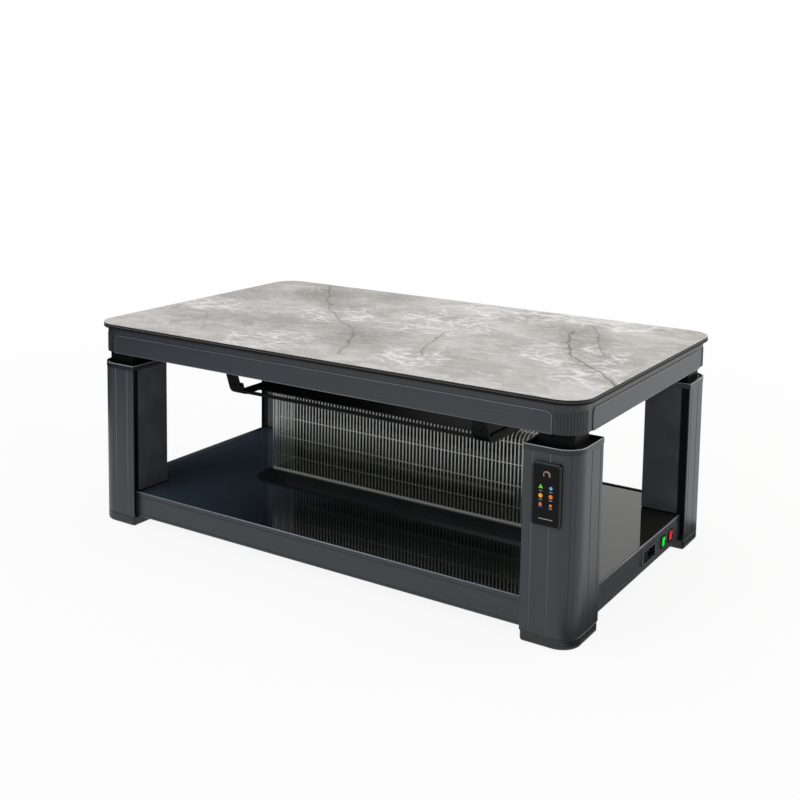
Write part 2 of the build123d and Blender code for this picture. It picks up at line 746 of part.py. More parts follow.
# ---- heater core: a box with a reflector trough in front and behind ----
trough_middle = plinth_top + core_height / 2
trough_length = core_length - 2 * trough_end_wall
trough_floor = core_width / 2 - trough_depth
rod_y = core_width / 2 - trough_depth / 2
rod_length = trough_length + 2 * rod_seat
rod_places = [
    Location((heater_middle_x, side * rod_y, trough_middle + rise), (0, 90, 0))
    for side in (-1, 1)
    for rise in (-rod_rise, rod_rise)
]
with BuildPart() as heater_core:
    with Locations((heater_middle_x, 0, plinth_top)):
        Box(core_length, core_width, core_height, align=upright)
    fillet(heater_core.faces().sort_by(Axis.Z)[-1].edges().filter_by(Axis.X), core_edge_radius)
    with BuildSketch(Plane.YZ.offset(heater_middle_x)):
        for side in (-1, 1):
            with BuildLine():
                Polyline(
                    (side * core_width / 2, trough_middle + trough_height / 2),
                    (side * trough_floor, trough_middle + trough_height / 2 - trough_slope),
                    (side * trough_floor, trough_middle - trough_height / 2 + trough_slope),
                    (side * core_width / 2, trough_middle - trough_height / 2),
                    close=True,
                )
            make_face()
    extrude(amount=trough_length / 2, both=True, mode=Mode.SUBTRACT)
    flange_half = core_width / 2 - core_wall
    web_half = trough_floor - core_wall
    trough_mouth = trough_height / 2 + core_wall
    trough_back = trough_mouth - trough_slope
    hollow_side = [
        (flange_half, plinth_top),
        (flange_half, trough_middle - trough_mouth),
        (web_half, trough_middle - trough_back),
        (web_half, trough_middle + trough_back),
        (flange_half, trough_middle + trough_mouth),
        (flange_half, plinth_top + core_height - core_wall),
    ]
    with BuildSketch(Plane.YZ.offset(heater_middle_x)):
        with BuildLine():
            Polyline(*hollow_side, *[(-y, z) for y, z in reversed(hollow_side)], close=True)
        make_face()
    extrude(amount=core_length / 2 - core_wall, both=True, mode=Mode.SUBTRACT)
    with Locations(*rod_places):
        Cylinder(rod_radius + fit_gap, rod_length, mode=Mode.SUBTRACT)
save(heater_core, "heater_core")

with BuildPart() as heater_rods:
    with Locations(*rod_places):
        Cylinder(rod_radius, rod_length)
save(heater_rods, "heater_rods")

# ---- wire cage: hoops over the core, tied by cross wires, closed at both ends ----
with BuildPart() as heater_cage:
    with BuildSketch(Plane.YZ.offset(heater_middle_x)) as hoop:
        with Locations((0, plinth_top)):
            Rectangle(cage_width, cage_height, align=(Align.CENTER, Align.MIN))
        fillet(hoop.vertices().group_by(Axis.Y)[-1], cage_bend_radius)
    extrude(amount=cage_length / 2, both=True)
    with BuildSketch(Plane.YZ.offset(heater_middle_x)) as hoop_inside:
        with Locations((0, plinth_top)):
            Rectangle(
                cage_width - 2 * wire_size,
                cage_height - wire_size,
                align=(Align.CENTER, Align.MIN),
            )
        fillet(hoop_inside.vertices().group_by(Axis.Y)[-1], cage_bend_radius - wire_size)
    extrude(amount=cage_length / 2 - wire_size, both=True, mode=Mode.SUBTRACT)
    cross_wires = [cross_wire_top - row * cross_wire_step for row in range(cross_wire_count)]
    slot_bottoms = [level + wire_size / 2 for level in cross_wires] + [plinth_top + rim_height]
    slot_tops = [cage_top + wire_size] + [level - wire_size / 2 for level in cross_wires]
    with BuildSketch(Plane.XZ):
        for bottom, top in zip(slot_bottoms, slot_tops):
            with Locations((heater_middle_x, (bottom + top) / 2)):
                with GridLocations(wire_pitch, 0, wire_count - 1, 1):
                    Rectangle(wire_pitch - wire_size, top - bottom)
    extrude(amount=cage_width, both=True, mode=Mode.SUBTRACT)
    end_pitch = (cage_width - wire_size) / (end_wire_count - 1)
    with BuildSketch(Plane.YZ.offset(heater_middle_x)) as end_slots:
        with Locations((0, plinth_top + rim_height)):
            Rectangle(
                cage_width - 4 * wire_size,
                cage_height - rim_height - 2 * wire_size,
                align=(Align.CENTER, Align.MIN),
            )
        fillet(end_slots.vertices().group_by(Axis.Y)[-1], cage_bend_radius - 2 * wire_size)
        with Locations((0, plinth_top + cage_height / 2)):
            with GridLocations(end_pitch, 0, end_wire_count, 1):
                Rectangle(wire_size, cage_height, mode=Mode.SUBTRACT)
        for level in cross_wires:
            with Locations((0, level)):
                Rectangle(cage_width, wire_size, mode=Mode.SUBTRACT)
    extrude(amount=cage_length, both=True, mode=Mode.SUBTRACT)
    top_wires = [(heater_middle_x, offset, cage_top) for offset in (-top_wire_offset, 0, top_wire_offset)]
    with Locations(*top_wires):
        Box(cage_length, wire_size, wire_size, align=hanging)
save(heater_cage, "heater_cage")

# ---- guard straps: two flat cradles, with legs that lean out to the underside pan ----
lean_slope = tan(radians(strap_lean))
level_wall = strap_thickness / cos(radians(strap_lean))    # a leg's thickness, measured level
strap_top_reach = strap_reach + (pan_bottom - strap_bottom) * lean_slope
strap_inner = strap_reach + strap_thickness * lean_slope - level_wall
leg_face = Plane(
    origin=(0, -strap_reach, strap_bottom),
    x_dir=(1, 0, 0),
    z_dir=(0, -cos(radians(strap_lean)), -sin(radians(strap_lean))),
)
tab_foot = strap_bend_radius / tan(radians(90 + strap_lean) / 2)    # end of the bend, up the leg
guard_screw_places = [
    leg_face.location * Location((side * strap_x, tab_foot + bar_tab_height / 2, 0)) for side in (-1, 1)
]
with BuildPart() as guard_straps:
    with BuildSketch(Plane.YZ) as strap_side:
        with BuildLine():
            Polyline(
                (-strap_top_reach, pan_bottom),
                (-strap_reach, strap_bottom),
                (strap_reach, strap_bottom),
                (strap_top_reach, pan_bottom),
                close=True,
            )
        make_face()
        fillet(strap_side.vertices().group_by(Axis.Y)[0], strap_bend_radius)
        with BuildSketch(Plane.YZ, mode=Mode.PRIVATE) as strap_hollow:
            with BuildLine():
                Polyline(
                    (-strap_top_reach + level_wall, pan_bottom),
                    (-strap_inner, shield_bottom),
                    (strap_inner, shield_bottom),
                    (strap_top_reach - level_wall, pan_bottom),
                    close=True,
                )
            make_face()
            fillet(strap_hollow.vertices().group_by(Axis.Y)[0], strap_bend_radius - strap_thickness)
        add(strap_hollow.sketch_local, mode=Mode.SUBTRACT)
        with Locations((-strap_top_reach + level_wall, pan_bottom)):
            Rectangle(strap_tab, strap_thickness, align=(Align.MAX, Align.MAX))
        with Locations((strap_top_reach - level_wall, pan_bottom)):
            Rectangle(strap_tab, strap_thickness, align=(Align.MIN, Align.MAX))
    extrude(amount=strap_x + strap_width / 2, both=True)
    with BuildSketch(Plane.YZ):
        with Locations((0, strap_bottom)):
            Rectangle(2 * table_width, pan_bottom, align=(Align.CENTER, Align.MIN))
    extrude(amount=strap_x - strap_width / 2, both=True, mode=Mode.SUBTRACT)
    with Locations(*guard_screw_places):
        Cylinder(screw_radius + screw_hole_gap, 3 * strap_thickness, mode=Mode.SUBTRACT)
save(guard_straps, "guard_straps")

# ---- front bar of the guard, with a tab behind each leaning leg ----
bar_half = strap_x - strap_width / 2 - fit_gap
bar_bottom = strap_bottom + guard_bar_rise
bar_reach = strap_reach + guard_bar_rise * lean_slope
with BuildPart() as guard_bar:
    with Locations((0, -bar_reach, bar_bottom)):
        Box(2 * bar_half, guard_bar_size, guard_bar_size, align=(Align.CENTER, Align.MIN, Align.MIN))
    with BuildSketch(leg_face.offset(-strap_thickness)):
        for side, align_x in ((-1, Align.MIN), (1, Align.MAX)):
            with Locations((side * bar_half, guard_bar_rise)):
                Rectangle(
                    guard_bar_size,
                    tab_foot + bar_tab_height - guard_bar_rise,
                    align=(align_x, Align.MIN),
                )
            with Locations((side * (bar_half - guard_bar_size + bar_tab_length), tab_foot)):
                Rectangle(bar_tab_length, bar_tab_height, align=(align_x, Align.MIN))
    extrude(amount=-bar_tab_thickness)
    with Locations(*guard_screw_places):
        Cylinder(screw_radius + screw_hole_gap, 4 * strap_thickness, mode=Mode.SUBTRACT)
save(guard_bar, "guard_bar")

with BuildPart() as guard_screws:
    with Locations(*guard_screw_places):
        Cylinder(screw_head_radius, screw_head_height, align=upright)
        Cylinder(screw_radius, screw_length, align=hanging)
save(guard_screws, "guard_screws")

# ---- heat shield that lies on the two straps ----
with BuildPart() as heat_shield:
    with BuildSketch(Plane.XY.offset(shield_bottom)):
        Rectangle(2 * (strap_x - strap_width / 2 + shield_bearing), 2 * shield_reach)
    extrude(amount=shield_thickness)
save(heat_shield, "heat_shield")

# ---- touch control panel: a housing on the leg's front face and the screen in it ----
panel_plane = Plane.XZ.offset(leg_y)
with BuildPart() as panel_housing:
    with BuildSketch(panel_plane):
        with Locations((panel_x, panel_middle_height)):
            RectangleRounded(panel_width, panel_height, panel_corner_radius)
    extrude(amount=panel_depth)
    fillet(panel_housing.faces().sort_by(Axis.Y)[0].edges(), panel_edge_radius)
    with BuildSketch(panel_plane.offset(panel_depth)):
        with Locations((panel_x, panel_middle_height)):
            RectangleRounded(
                panel_width - 2 * panel_rim,
                panel_height - 2 * panel_rim,
                panel_corner_radius - panel_edge_radius,
            )
    extrude(amount=-screen_thickness - screen_drop, mode=Mode.SUBTRACT)
save(panel_housing, "panel_housing")

with BuildPart() as panel_screen:
    with BuildSketch(panel_plane.offset(panel_depth - screen_drop - screen_thickness)):
        with Locations((panel_x, panel_middle_height)):
            RectangleRounded(
                panel_width - 2 * panel_rim - 2 * screen_gap,
                panel_height - 2 * panel_rim - 2 * screen_gap,
                panel_corner_radius - panel_edge_radius - screen_gap,
            )
    extrude(amount=screen_thickness)
save(panel_screen, "panel_screen")

# ---- mains inlet: flange, window, pin socket and fuse drawer ----
with BuildPart() as inlet_body:
    with BuildSketch(service_plane):
        with Locations((inlet_middle, service_height)):
            RectangleRounded(inlet_flange_length, inlet_flange_height, inlet_flange_radius)
    extrude(amount=inlet_flange_thickness)
    with BuildSketch(service_plane):
        with Locations((inlet_middle, service_height)):
            Rectangle(inlet_body_length, inlet_body_height)
    extrude(amount=-inlet_body_depth)
    with BuildSketch(service_plane.offset(inlet_flange_thickness)):
        with Locations((inlet_middle, service_height)):
            RectangleRounded(window_length, window_height, small_radius)
    extrude(amount=-window_depth, mode=Mode.SUBTRACT)
    window_floor = inlet_flange_thickness - window_depth
    with BuildSketch(service_plane.offset(window_floor)) as socket:
        with Locations((inlet_middle + socket_offset, service_height)):
            Rectangle(socket_length, socket_height)
        chamfer(socket.vertices().group_by(Axis.Y)[-1], socket_corner)
    extrude(amount=-socket_depth, mode=Mode.SUBTRACT)
    with BuildSketch(service_plane.offset(window_floor)):
        with Locations((inlet_middle + drawer_offset, service_height)):
            RectangleRounded(drawer_length, drawer_height, small_radius)
    extrude(amount=window_depth)
    with BuildSketch(service_plane.offset(inlet_flange_thickness)):
        with Locations((inlet_middle + drawer_offset + drawer_length / 2, service_height)):
            Circle(pull_radius)
    extrude(amount=-window_depth / 2, mode=Mode.SUBTRACT)
save(inlet_body, "inlet_body")

with BuildPart() as inlet_pins:
    with BuildSketch(service_plane.offset(window_floor - socket_depth)):
        socket_middle = inlet_middle + socket_offset
        pin_rises = {-pin_spacing: line_pin_rise, 0: earth_pin_rise, pin_spacing: line_pin_rise}
        for offset, rise in pin_rises.items():
            with Locations((socket_middle + offset, service_height + rise)):
                Rectangle(pin_width, pin_height)
    extrude(amount=pin_length)
save(inlet_pins, "inlet_pins")

# ---- rocker bezels: a framed box through the rail, open to the outside ----
pivot_x = rail_x - rocker_pivot_depth
with BuildPart() as rocker_bezels:
    with BuildSketch(service_plane):
        with Locations(*rocker_places):
            RectangleRounded(bezel_width + 2 * bezel_lip, bezel_height + 2 * bezel_lip, bezel_lip)
    extrude(amount=bezel_flange_thickness)
    with BuildSketch(service_plane):
        with Locations(*rocker_places):
            Rectangle(bezel_width, bezel_height)
    extrude(amount=-bezel_depth)
    with BuildSketch(service_plane.offset(bezel_flange_thickness)):
        with Locations(*rocker_places):
            Rectangle(bezel_opening_width, bezel_opening_height)
    extrude(amount=-bezel_flange_thickness - bezel_depth + bezel_wall, mode=Mode.SUBTRACT)
    with Locations(*[Location((pivot_x, y, z), (90, 0, 0)) for y, z in rocker_places]):
        Cylinder(
            pivot_pin_radius + pivot_gap,
            rocker_width + 2 * pivot_pin_length + 2 * pivot_gap,
            mode=Mode.SUBTRACT,
        )
save(rocker_bezels, "rocker_bezels")

# ---- rockers: a hollowed V face on a pivot, drawn level and then tipped to the latched side ----
for colour, middle in rocker_middles.items():
    with BuildPart() as rocker:
        with BuildSketch(Plane.XZ.offset(-middle)):
            with BuildLine():
                Polyline(
                    (pivot_x - rocker_skirt, service_height - rocker_height / 2),
                    (pivot_x + rocker_end_rise, service_height - rocker_height / 2),
                    (pivot_x + rocker_middle_rise, service_height),
                    (pivot_x + rocker_end_rise, service_height + rocker_height / 2),
                    (pivot_x - rocker_skirt, service_height + rocker_height / 2),
                    close=True,
                )
            make_face()
        extrude(amount=rocker_width / 2, both=True)
        with Locations(Location((pivot_x, middle, service_height), (90, 0, 0))):
            Cylinder(pivot_pin_radius, rocker_width + 2 * pivot_pin_length)
    pivot = Axis((pivot_x, middle, service_height), (0, 1, 0))
    with BuildPart() as tipped:
        add(rocker.part.rotate(pivot, rocker_travel / 2))
    save(tipped, f"rocker_{colour}")
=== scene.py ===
from math import cos, pi, radians, sin

import bpy
import numpy as np
from mathutils import Matrix, Vector


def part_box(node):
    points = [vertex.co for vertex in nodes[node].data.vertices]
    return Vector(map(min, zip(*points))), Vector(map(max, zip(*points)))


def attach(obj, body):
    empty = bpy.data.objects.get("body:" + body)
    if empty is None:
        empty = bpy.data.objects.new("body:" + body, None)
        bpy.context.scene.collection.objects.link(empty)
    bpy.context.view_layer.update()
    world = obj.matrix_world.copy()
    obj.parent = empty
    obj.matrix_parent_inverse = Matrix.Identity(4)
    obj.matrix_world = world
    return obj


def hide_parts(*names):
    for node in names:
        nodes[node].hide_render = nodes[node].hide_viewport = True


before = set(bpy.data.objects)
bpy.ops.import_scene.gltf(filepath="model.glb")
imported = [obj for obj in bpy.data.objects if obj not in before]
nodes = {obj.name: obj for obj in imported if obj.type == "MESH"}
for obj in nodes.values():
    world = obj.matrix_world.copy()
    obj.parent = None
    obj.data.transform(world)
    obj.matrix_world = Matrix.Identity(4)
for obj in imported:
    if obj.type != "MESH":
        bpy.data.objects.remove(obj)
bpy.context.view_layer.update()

# Lift-top heating table. Everything is in metres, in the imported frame.

print("frame loaded:", len(nodes), "nodes")


def paint(red, green, blue):
    # a screen colour, 0 to 255, as the linear colour that the shader wants
    levels = np.array([red, green, blue]) / 255
    linear = np.where(levels <= 0.04045, levels / 12.92, ((levels + 0.055) / 1.055) ** 2.4)
    return (*(float(level) for level in linear), 1.0)


# ---- shader maths as expressions ----

class Out:
    # one output socket; arithmetic on it adds Math nodes
    def __init__(self, finish, socket):
        self.finish, self.socket = finish, socket

    def maths(self, operation, first, second):
        return self.finish.node("Math", {"operation": operation}, {0: first, 1: second})

    def __add__(self, other): return self.maths("ADD", self, other)
    def __radd__(self, other): return self.maths("ADD", other, self)
    def __sub__(self, other): return self.maths("SUBTRACT", self, other)
    def __rsub__(self, other): return self.maths("SUBTRACT", other, self)
    def __mul__(self, other): return self.maths("MULTIPLY", self, other)
    def __rmul__(self, other): return self.maths("MULTIPLY", other, self)
    def __truediv__(self, other): return self.maths("DIVIDE", self, other)
    def __rtruediv__(self, other): return self.maths("DIVIDE", other, self)
    def __pow__(self, other): return self.maths("POWER", self, other)
    def __gt__(self, other): return self.maths("GREATER_THAN", self, other)
    def __lt__(self, other): return self.maths("LESS_THAN", self, other)
    def __neg__(self): return self.maths("MULTIPLY", self, -1.0)
    def __abs__(self): return self.maths("ABSOLUTE", self, 0.0)
    def least(self, other): return self.maths("MINIMUM", self, other)
    def most(self, other): return self.maths("MAXIMUM", self, other)


class Finish:
    # a principled material; its constants go straight onto the shader's own sockets
    def __init__(self, name, **constants):
        self.material = bpy.data.materials.new(name)
        self.material.use_nodes = True
        self.tree = self.material.node_tree
        self.shader = self.tree.nodes["Principled BSDF"]
        for socketName, value in constants.items():
            self.shader.inputs[socketName.replace("_", " ")].default_value = value
        self.place = self.node("TexCoord", output="Object")

    def node(self, kind, settings=None, inputs=None, output=0):
        # any node: its settings first, then values or links for its sockets
        made = self.tree.nodes.new("ShaderNode" + kind)
        for setting, value in (settings or {}).items():
            if setting == "stops":
                ramp = made.color_ramp
                while len(ramp.elements) < len(value):
                    ramp.elements.new(0.5)
                for element, (position, colour) in zip(ramp.elements, value):
                    element.position, element.color = position, colour
            else:
                setattr(made, setting, value)
        for socket, value in (inputs or {}).items():
            self.feed(made.inputs[socket], value)
        return Out(self, made.outputs[output])

    def feed(self, socket, value):
        if isinstance(value, Out):
            self.tree.links.new(value.socket, socket)
        else:
            socket.default_value = value

    def set(self, **sockets):
        for socketName, value in sockets.items():
            self.feed(self.shader.inputs[socketName.replace("_", " ")], value)
        return self

    def mix(self, share, first, second):
        # first colour where share is 0, second where it is 1
        return self.node("Mix", {"data_type": "RGBA"}, {0: share, 6: first, 7: second}, 2)

    def stretched(self, scale, turn=0.0):
        # the piece's own coordinates, scaled along each axis and turned about Z
        sockets = {"Vector": self.place, "Rotation": (0.0, 0.0, turn), "Scale": scale}
        return self.node("Mapping", {}, sockets)

    def noise(self, where, scale, detail=4.0, rough=0.5, bend=0.0):
        sockets = {"Vector": where, "Scale": scale, "Detail": detail, "Roughness": rough, "Distortion": bend}
        return self.node("TexNoise", {}, sockets)

    def between(self, value, low, high):
        # 0 below low, 1 above high, and smooth between
        sockets = {"Value": value, "From Min": low, "From Max": high}
        return self.node("MapRange", {"interpolation_type": "SMOOTHSTEP"}, sockets)

    def axes(self, where=None):
        # the x, y and z of a place, as three values
        split = self.node("SeparateXYZ", {}, {0: where or self.place})
        return [Out(self, socket) for socket in split.socket.node.outputs]

    def vectorMaths(self, operation, first, second, output=0):
        return self.node("VectorMath", {"operation": operation}, {0: first, 1: second}, output)

    def bump(self, height, depth, strength=1.0):
        # depth is the real height of a full step, in metres
        made = self.node("Bump", {}, {"Height": height, "Distance": depth, "Strength": strength})
        return self.set(Normal=made)


# ---- stone top: greige ground, soft dark clouds, a net of thin white veins and a few cracks ----

stone = {
    "ground": paint(201, 197, 194),
    "pale": paint(243, 241, 239),
    "cloud": paint(124, 118, 113),
    "crack": paint(88, 81, 75),
    "edge": paint(40, 41, 41),
    "edgeTop": 0.5052,               # below this level the slab shows its dark ground edge
    "seam": paint(112, 104, 96),
    "seamTop": 0.5008,
    "crackWidth": 0.0046,
    "wander": 0.030,
    "veinWidth": 0.075,               # as a share of a cell of the net
}
# each crack is a short chain of places on the top, and how dark it is
cracks = [
    ([
        (-0.50, 0.40), (-0.40, 0.26), (-0.33, 0.15), (-0.17, -0.02), (-0.08, -0.09), (0.00, -0.22),
        (0.04, -0.33),
    ], 0.48),
    ([(0.36, 0.22), (0.42, 0.06), (0.47, -0.05), (0.56, -0.13), (0.65, -0.23)], 0.72),
    ([(0.38, 0.30), (0.45, 0.16), (0.52, 0.01)], 0.48),
    ([(0.12, 0.00), (0.15, -0.13), (0.20, -0.24)], 0.50),
    ([(-0.51, -0.14), (-0.44, -0.22), (-0.37, -0.31)], 0.20),
]
# dark clouds: middle, reach and strength
clouds = [
    (-0.40, 0.26, 0.17, 0.80), (-0.02, -0.17, 0.15, 0.85), (-0.23, 0.35, 0.15, 0.60),
    (0.34, 0.22, 0.17, 0.80), (0.20, 0.29, 0.14, 0.60), (0.43, 0.12, 0.15, 0.75),
    (-0.58, 0.11, 0.14, 0.45), (-0.28, 0.17, 0.12, 0.45), (-0.41, -0.16, 0.12, 0.30),
    (0.29, -0.13, 0.14, 0.35), (0.56, -0.02, 0.12, 0.35),
]
# places where the white net shows: middle and reach
veined = [
    (0.05, 0.10, 0.22), (-0.22, 0.03, 0.16), (0.46, -0.04, 0.20), (0.04, 0.27, 0.16), (0.23, 0.35, 0.15),
    (0.42, 0.36, 0.18), (-0.56, -0.03, 0.14), (-0.18, -0.30, 0.16), (0.19, -0.26, 0.14), (0.60, -0.20, 0.14),
]


def stoneFinish():
    # distance to each crack's runs, in coordinates that noise pushes about, gives a thin dark line;
    # the white net is the joint lines of a cell pattern in the same pushed coordinates
    made = Finish("sintered_stone", Specular_IOR_Level=0.16, IOR=1.5)
    sockets = {"Vector": made.place, "Scale": 9.0, "Detail": 7.0, "Roughness": 0.68}
    push = made.node("TexNoise", {}, sockets, "Color")
    push = made.vectorMaths("SUBTRACT", push, (0.5, 0.5, 0.5))
    push = made.node("VectorMath", {"operation": "SCALE"}, {0: push, "Scale": 2 * stone["wander"]})
    bent = made.vectorMaths("MULTIPLY", made.vectorMaths("ADD", made.place, push), (1.0, 1.0, 0.0))

    def spots(places):
        # 1 in the middle of the nearest place and 0 beyond its reach, times the place's strength
        total = None
        for placeX, placeY, reach, strength in places:
            away = made.vectorMaths("DISTANCE", bent, (placeX, placeY, 0.0), "Value")
            spot = (1.0 - made.between(away, 0.1 * reach, reach)) * strength
            total = spot if total is None else total.most(spot)
        return total

    grain = made.stretched((1.0, 1.5, 1.0), radians(14))
    broad = made.noise(grain, 2.6, 3.0, 0.5, 0.6)
    middle = made.noise(grain, 9.0, 6.0, 0.62, 0.8)
    fine = made.noise(made.stretched((1.0, 2.2, 1.0), radians(14)), 34.0, 7.0, 0.72, 1.0)
    grit = made.noise(made.place, 420.0, 3.0, 0.7)
    here = spots([(x, y, reach, 1.0) for x, y, reach in veined])

    colour = made.mix(made.between(broad, 0.34, 0.60) * 0.35 + 0.65, stone["cloud"], stone["ground"])
    colour = made.mix(spots(clouds) * made.between(middle, 0.28, 0.56) * 0.92, colour, stone["cloud"])
    colour = made.mix(made.between(middle, 0.58, 0.36) * 0.22, colour, stone["cloud"])
    colour = made.mix(made.between(middle, 0.50, 0.72) * 0.26, colour, stone["pale"])
    colour = made.mix(made.between(fine, 0.48, 0.70) * 0.27, colour, stone["pale"])
    colour = made.mix(made.between(fine, 0.50, 0.32) * 0.20, colour, stone["cloud"])
    colour = made.mix(made.between(grit, 0.35, 0.65) * 0.10, colour, stone["pale"])

    for size, turn, share in ((7.5, 20, 0.90), (15.0, -35, 0.75)):
        sockets = {"Vector": bent, "Rotation": (0.0, 0.0, radians(turn)), "Scale": (1.0, 1.7, 1.0)}
        cells = made.node("Mapping", {}, sockets)
        joint = made.node("TexVoronoi", {"feature": "DISTANCE_TO_EDGE"}, {"Vector": cells, "Scale": size})
        vein = 1.0 - made.between(joint, 0.1 * stone["veinWidth"], stone["veinWidth"])
        shown = made.between(here + middle, 0.62, 1.12) * made.between(fine, 0.36, 0.58)
        colour = made.mix(vein * shown * share, colour, stone["pale"])
    ridge = 1.0 - abs(middle - 0.5) * 18.0
    wisps = made.between(ridge, 0.2, 1.0) * made.between(fine, 0.40, 0.60)
    colour = made.mix(wisps * 0.32, colour, stone["pale"])

    for chain, depth in cracks:
        nearest = None
        for (startX, startY), (endX, endY) in zip(chain, chain[1:]):
            runX, runY = endX - startX, endY - startY
            runLength = (runX**2 + runY**2) ** 0.5
            unitX, unitY = runX / runLength, runY / runLength
            fromStart = made.vectorMaths("SUBTRACT", bent, (startX, startY, 0.0))
            along = made.vectorMaths("DOT_PRODUCT", fromStart, (unitX, unitY, 0.0), "Value")
            held = made.node("Clamp", {}, {"Value": along, "Min": 0.0, "Max": runLength})
            foot = made.node("CombineXYZ", {}, {0: held * unitX, 1: held * unitY, 2: 0.0})
            away = made.vectorMaths("DISTANCE", fromStart, foot, "Value")
            nearest = away if nearest is None else nearest.least(away)
        line = 1.0 - made.between(nearest, 0.2 * stone["crackWidth"], stone["crackWidth"])
        halo = 1.0 - made.between(nearest, stone["crackWidth"], 10 * stone["crackWidth"])
        colour = made.mix(halo * made.between(middle, 0.36, 0.60) * depth * 0.6, colour, stone["cloud"])
        colour = made.mix(line * made.between(fine, 0.30, 0.52) * depth, colour, stone["crack"])

    height = made.axes()[2]
    onTop = height > stone["edgeTop"]
    onSeam = height < stone["seamTop"]
    colour = made.mix(onTop, made.mix(onSeam, stone["edge"], stone["seam"]), colour)
    made.set(Base_Color=colour, Roughness=0.46 + fine * 0.12)
    return made.bump(fine, 0.00012, 0.6)


# ---- metal, plastic and glass finishes ----

# brushing that runs along X, Y or Z: the piece's coordinates, scaled far more across the run
alongX, alongY, alongZ = (3.0, 500.0, 500.0), (500.0, 3.0, 500.0), (500.0, 500.0, 3.0)


def brushedFinish(name, colour, streak, rough, **constants):
    # fine streaks along the piece: noise squeezed across both ways from a run along X, Y or Z
    made = Finish(name, **constants)
    fine = made.noise(made.stretched(streak), 1.0, 5.0, 0.62)
    speck = made.noise(made.place, 900.0, 2.0, 0.5)
    dark = tuple(0.86 * level for level in colour[:3]) + (1.0,)
    light = tuple(1.14 * level for level in colour[:3]) + (1.0,)
    made.set(Base_Color=made.mix(made.between(fine, 0.3, 0.7), dark, light))
    made.set(Roughness=rough - 0.06 + fine * 0.12)
    return made.bump(speck + fine, 0.00005, 0.5)


def mouldedFinish(name, colour, rough, grain=700.0, depth=0.00006, **constants):
    # moulded plastic or powder coat: a fine pebble in the height, and a little in the gloss
    made = Finish(name, **constants)
    pebble = made.noise(made.place, grain, 3.0, 0.55)
    cloud = made.noise(made.place, 14.0, 3.0, 0.5)
    dark = tuple(0.84 * level for level in colour[:3]) + (1.0,)
    light = tuple(1.12 * level for level in colour[:3]) + (1.0,)
    made.set(Base_Color=made.mix(made.between(cloud, 0.32, 0.7), dark, light))
    made.set(Roughness=rough - 0.05 + pebble * 0.1)
    return made.bump(pebble, depth, 0.6)


# navy and brown are painted reflections in the glass, fading in along X
shelf = {
    "paintedNavyReflection": paint(58, 68, 79), "black": paint(16, 20, 19), "paintedBrownReflection": paint(34, 33, 25),
    "paintedNavyReflectionFade": (-0.36, 0.02), "paintedBrownReflectionFade": (0.42, 0.62),    # along X
}


def shelfFinish():
    # black glass over a board: nearly black, with a painted reflection of navy to the left and of brown to
    # the right; the navy is also painted light for the shade under the table
    tint = (1.0, 0.98, 0.88, 1.0)
    made = Finish("shelf_black_glass", Specular_IOR_Level=0.44, IOR=1.5, Specular_Tint=tint)
    across = made.axes()[0]
    smear = made.noise(made.stretched((1.0, 4.0, 1.0)), 5.0, 4.0, 0.5)
    colour = made.mix(made.between(across + smear * 0.1, *shelf["paintedNavyReflectionFade"]), shelf["paintedNavyReflection"], shelf["black"])
    colour = made.mix(made.between(across + smear * 0.05, *shelf["paintedBrownReflectionFade"]), colour, shelf["paintedBrownReflection"])
    return made.set(Base_Color=colour, Roughness=0.03 + made.between(smear, 0.3, 0.8) * 0.05)


wire = {
    "bright": paint(252, 252, 248), "lowTone": paint(132, 135, 129), "foot": paint(176, 174, 164),
    "brightFade": (0.185, 0.265), "footFade": (0.112, 0.150),    # along Z
}


def wireFinish():
    # plated wire: bright towards the top of the cage, darker lower down, and a little lighter near its foot
    made = Finish("plated_wire", Metallic=0.1, Specular_IOR_Level=0.5)
    height = made.axes()[2]
    drawn = made.noise(made.stretched((300.0, 300.0, 30.0)), 1.0, 3.0, 0.5)
    cloud = made.noise(made.stretched((9.0, 9.0, 3.0)), 1.0, 3.0, 0.5)
    share = made.between(height + cloud * 0.05, *wire["brightFade"])
    colour = made.mix(share, wire["lowTone"], wire["bright"])
    nearFoot = 1.0 - made.between(height, *wire["footFade"])
    colour = made.mix(nearFoot * 0.5, colour, wire["foot"])
    return made.set(Base_Color=colour, Roughness=0.34 + drawn * 0.12)


def troughFinish():
    # heater core: dark sheet, its tone and gloss wandering along a fine grain
    made = Finish("heater_core_sheet", Specular_IOR_Level=0.3)
    grain = made.noise(made.stretched((6.0, 400.0, 400.0)), 1.0, 4.0, 0.6)
    colour = made.mix(made.between(grain, 0.3, 0.7), paint(8, 9, 9), paint(17, 18, 17))
    made.set(Base_Color=colour, Roughness=0.42 + grain * 0.14)
    return made.bump(grain, 0.00006, 0.4)


# the corner block's rounded face: middle of its arc, ribs in a whole turn, and their top
ribbing = {"arcX": 0.590, "arcY": 0.340, "inTurn": 48, "top": 0.478}
# the mains inlet: its flange's face along X, and the well's middle and half size along Y and Z
inlet = {"face": 0.6283, "wellY": (0.060, 0.0336), "wellZ": (0.055, 0.0127)}


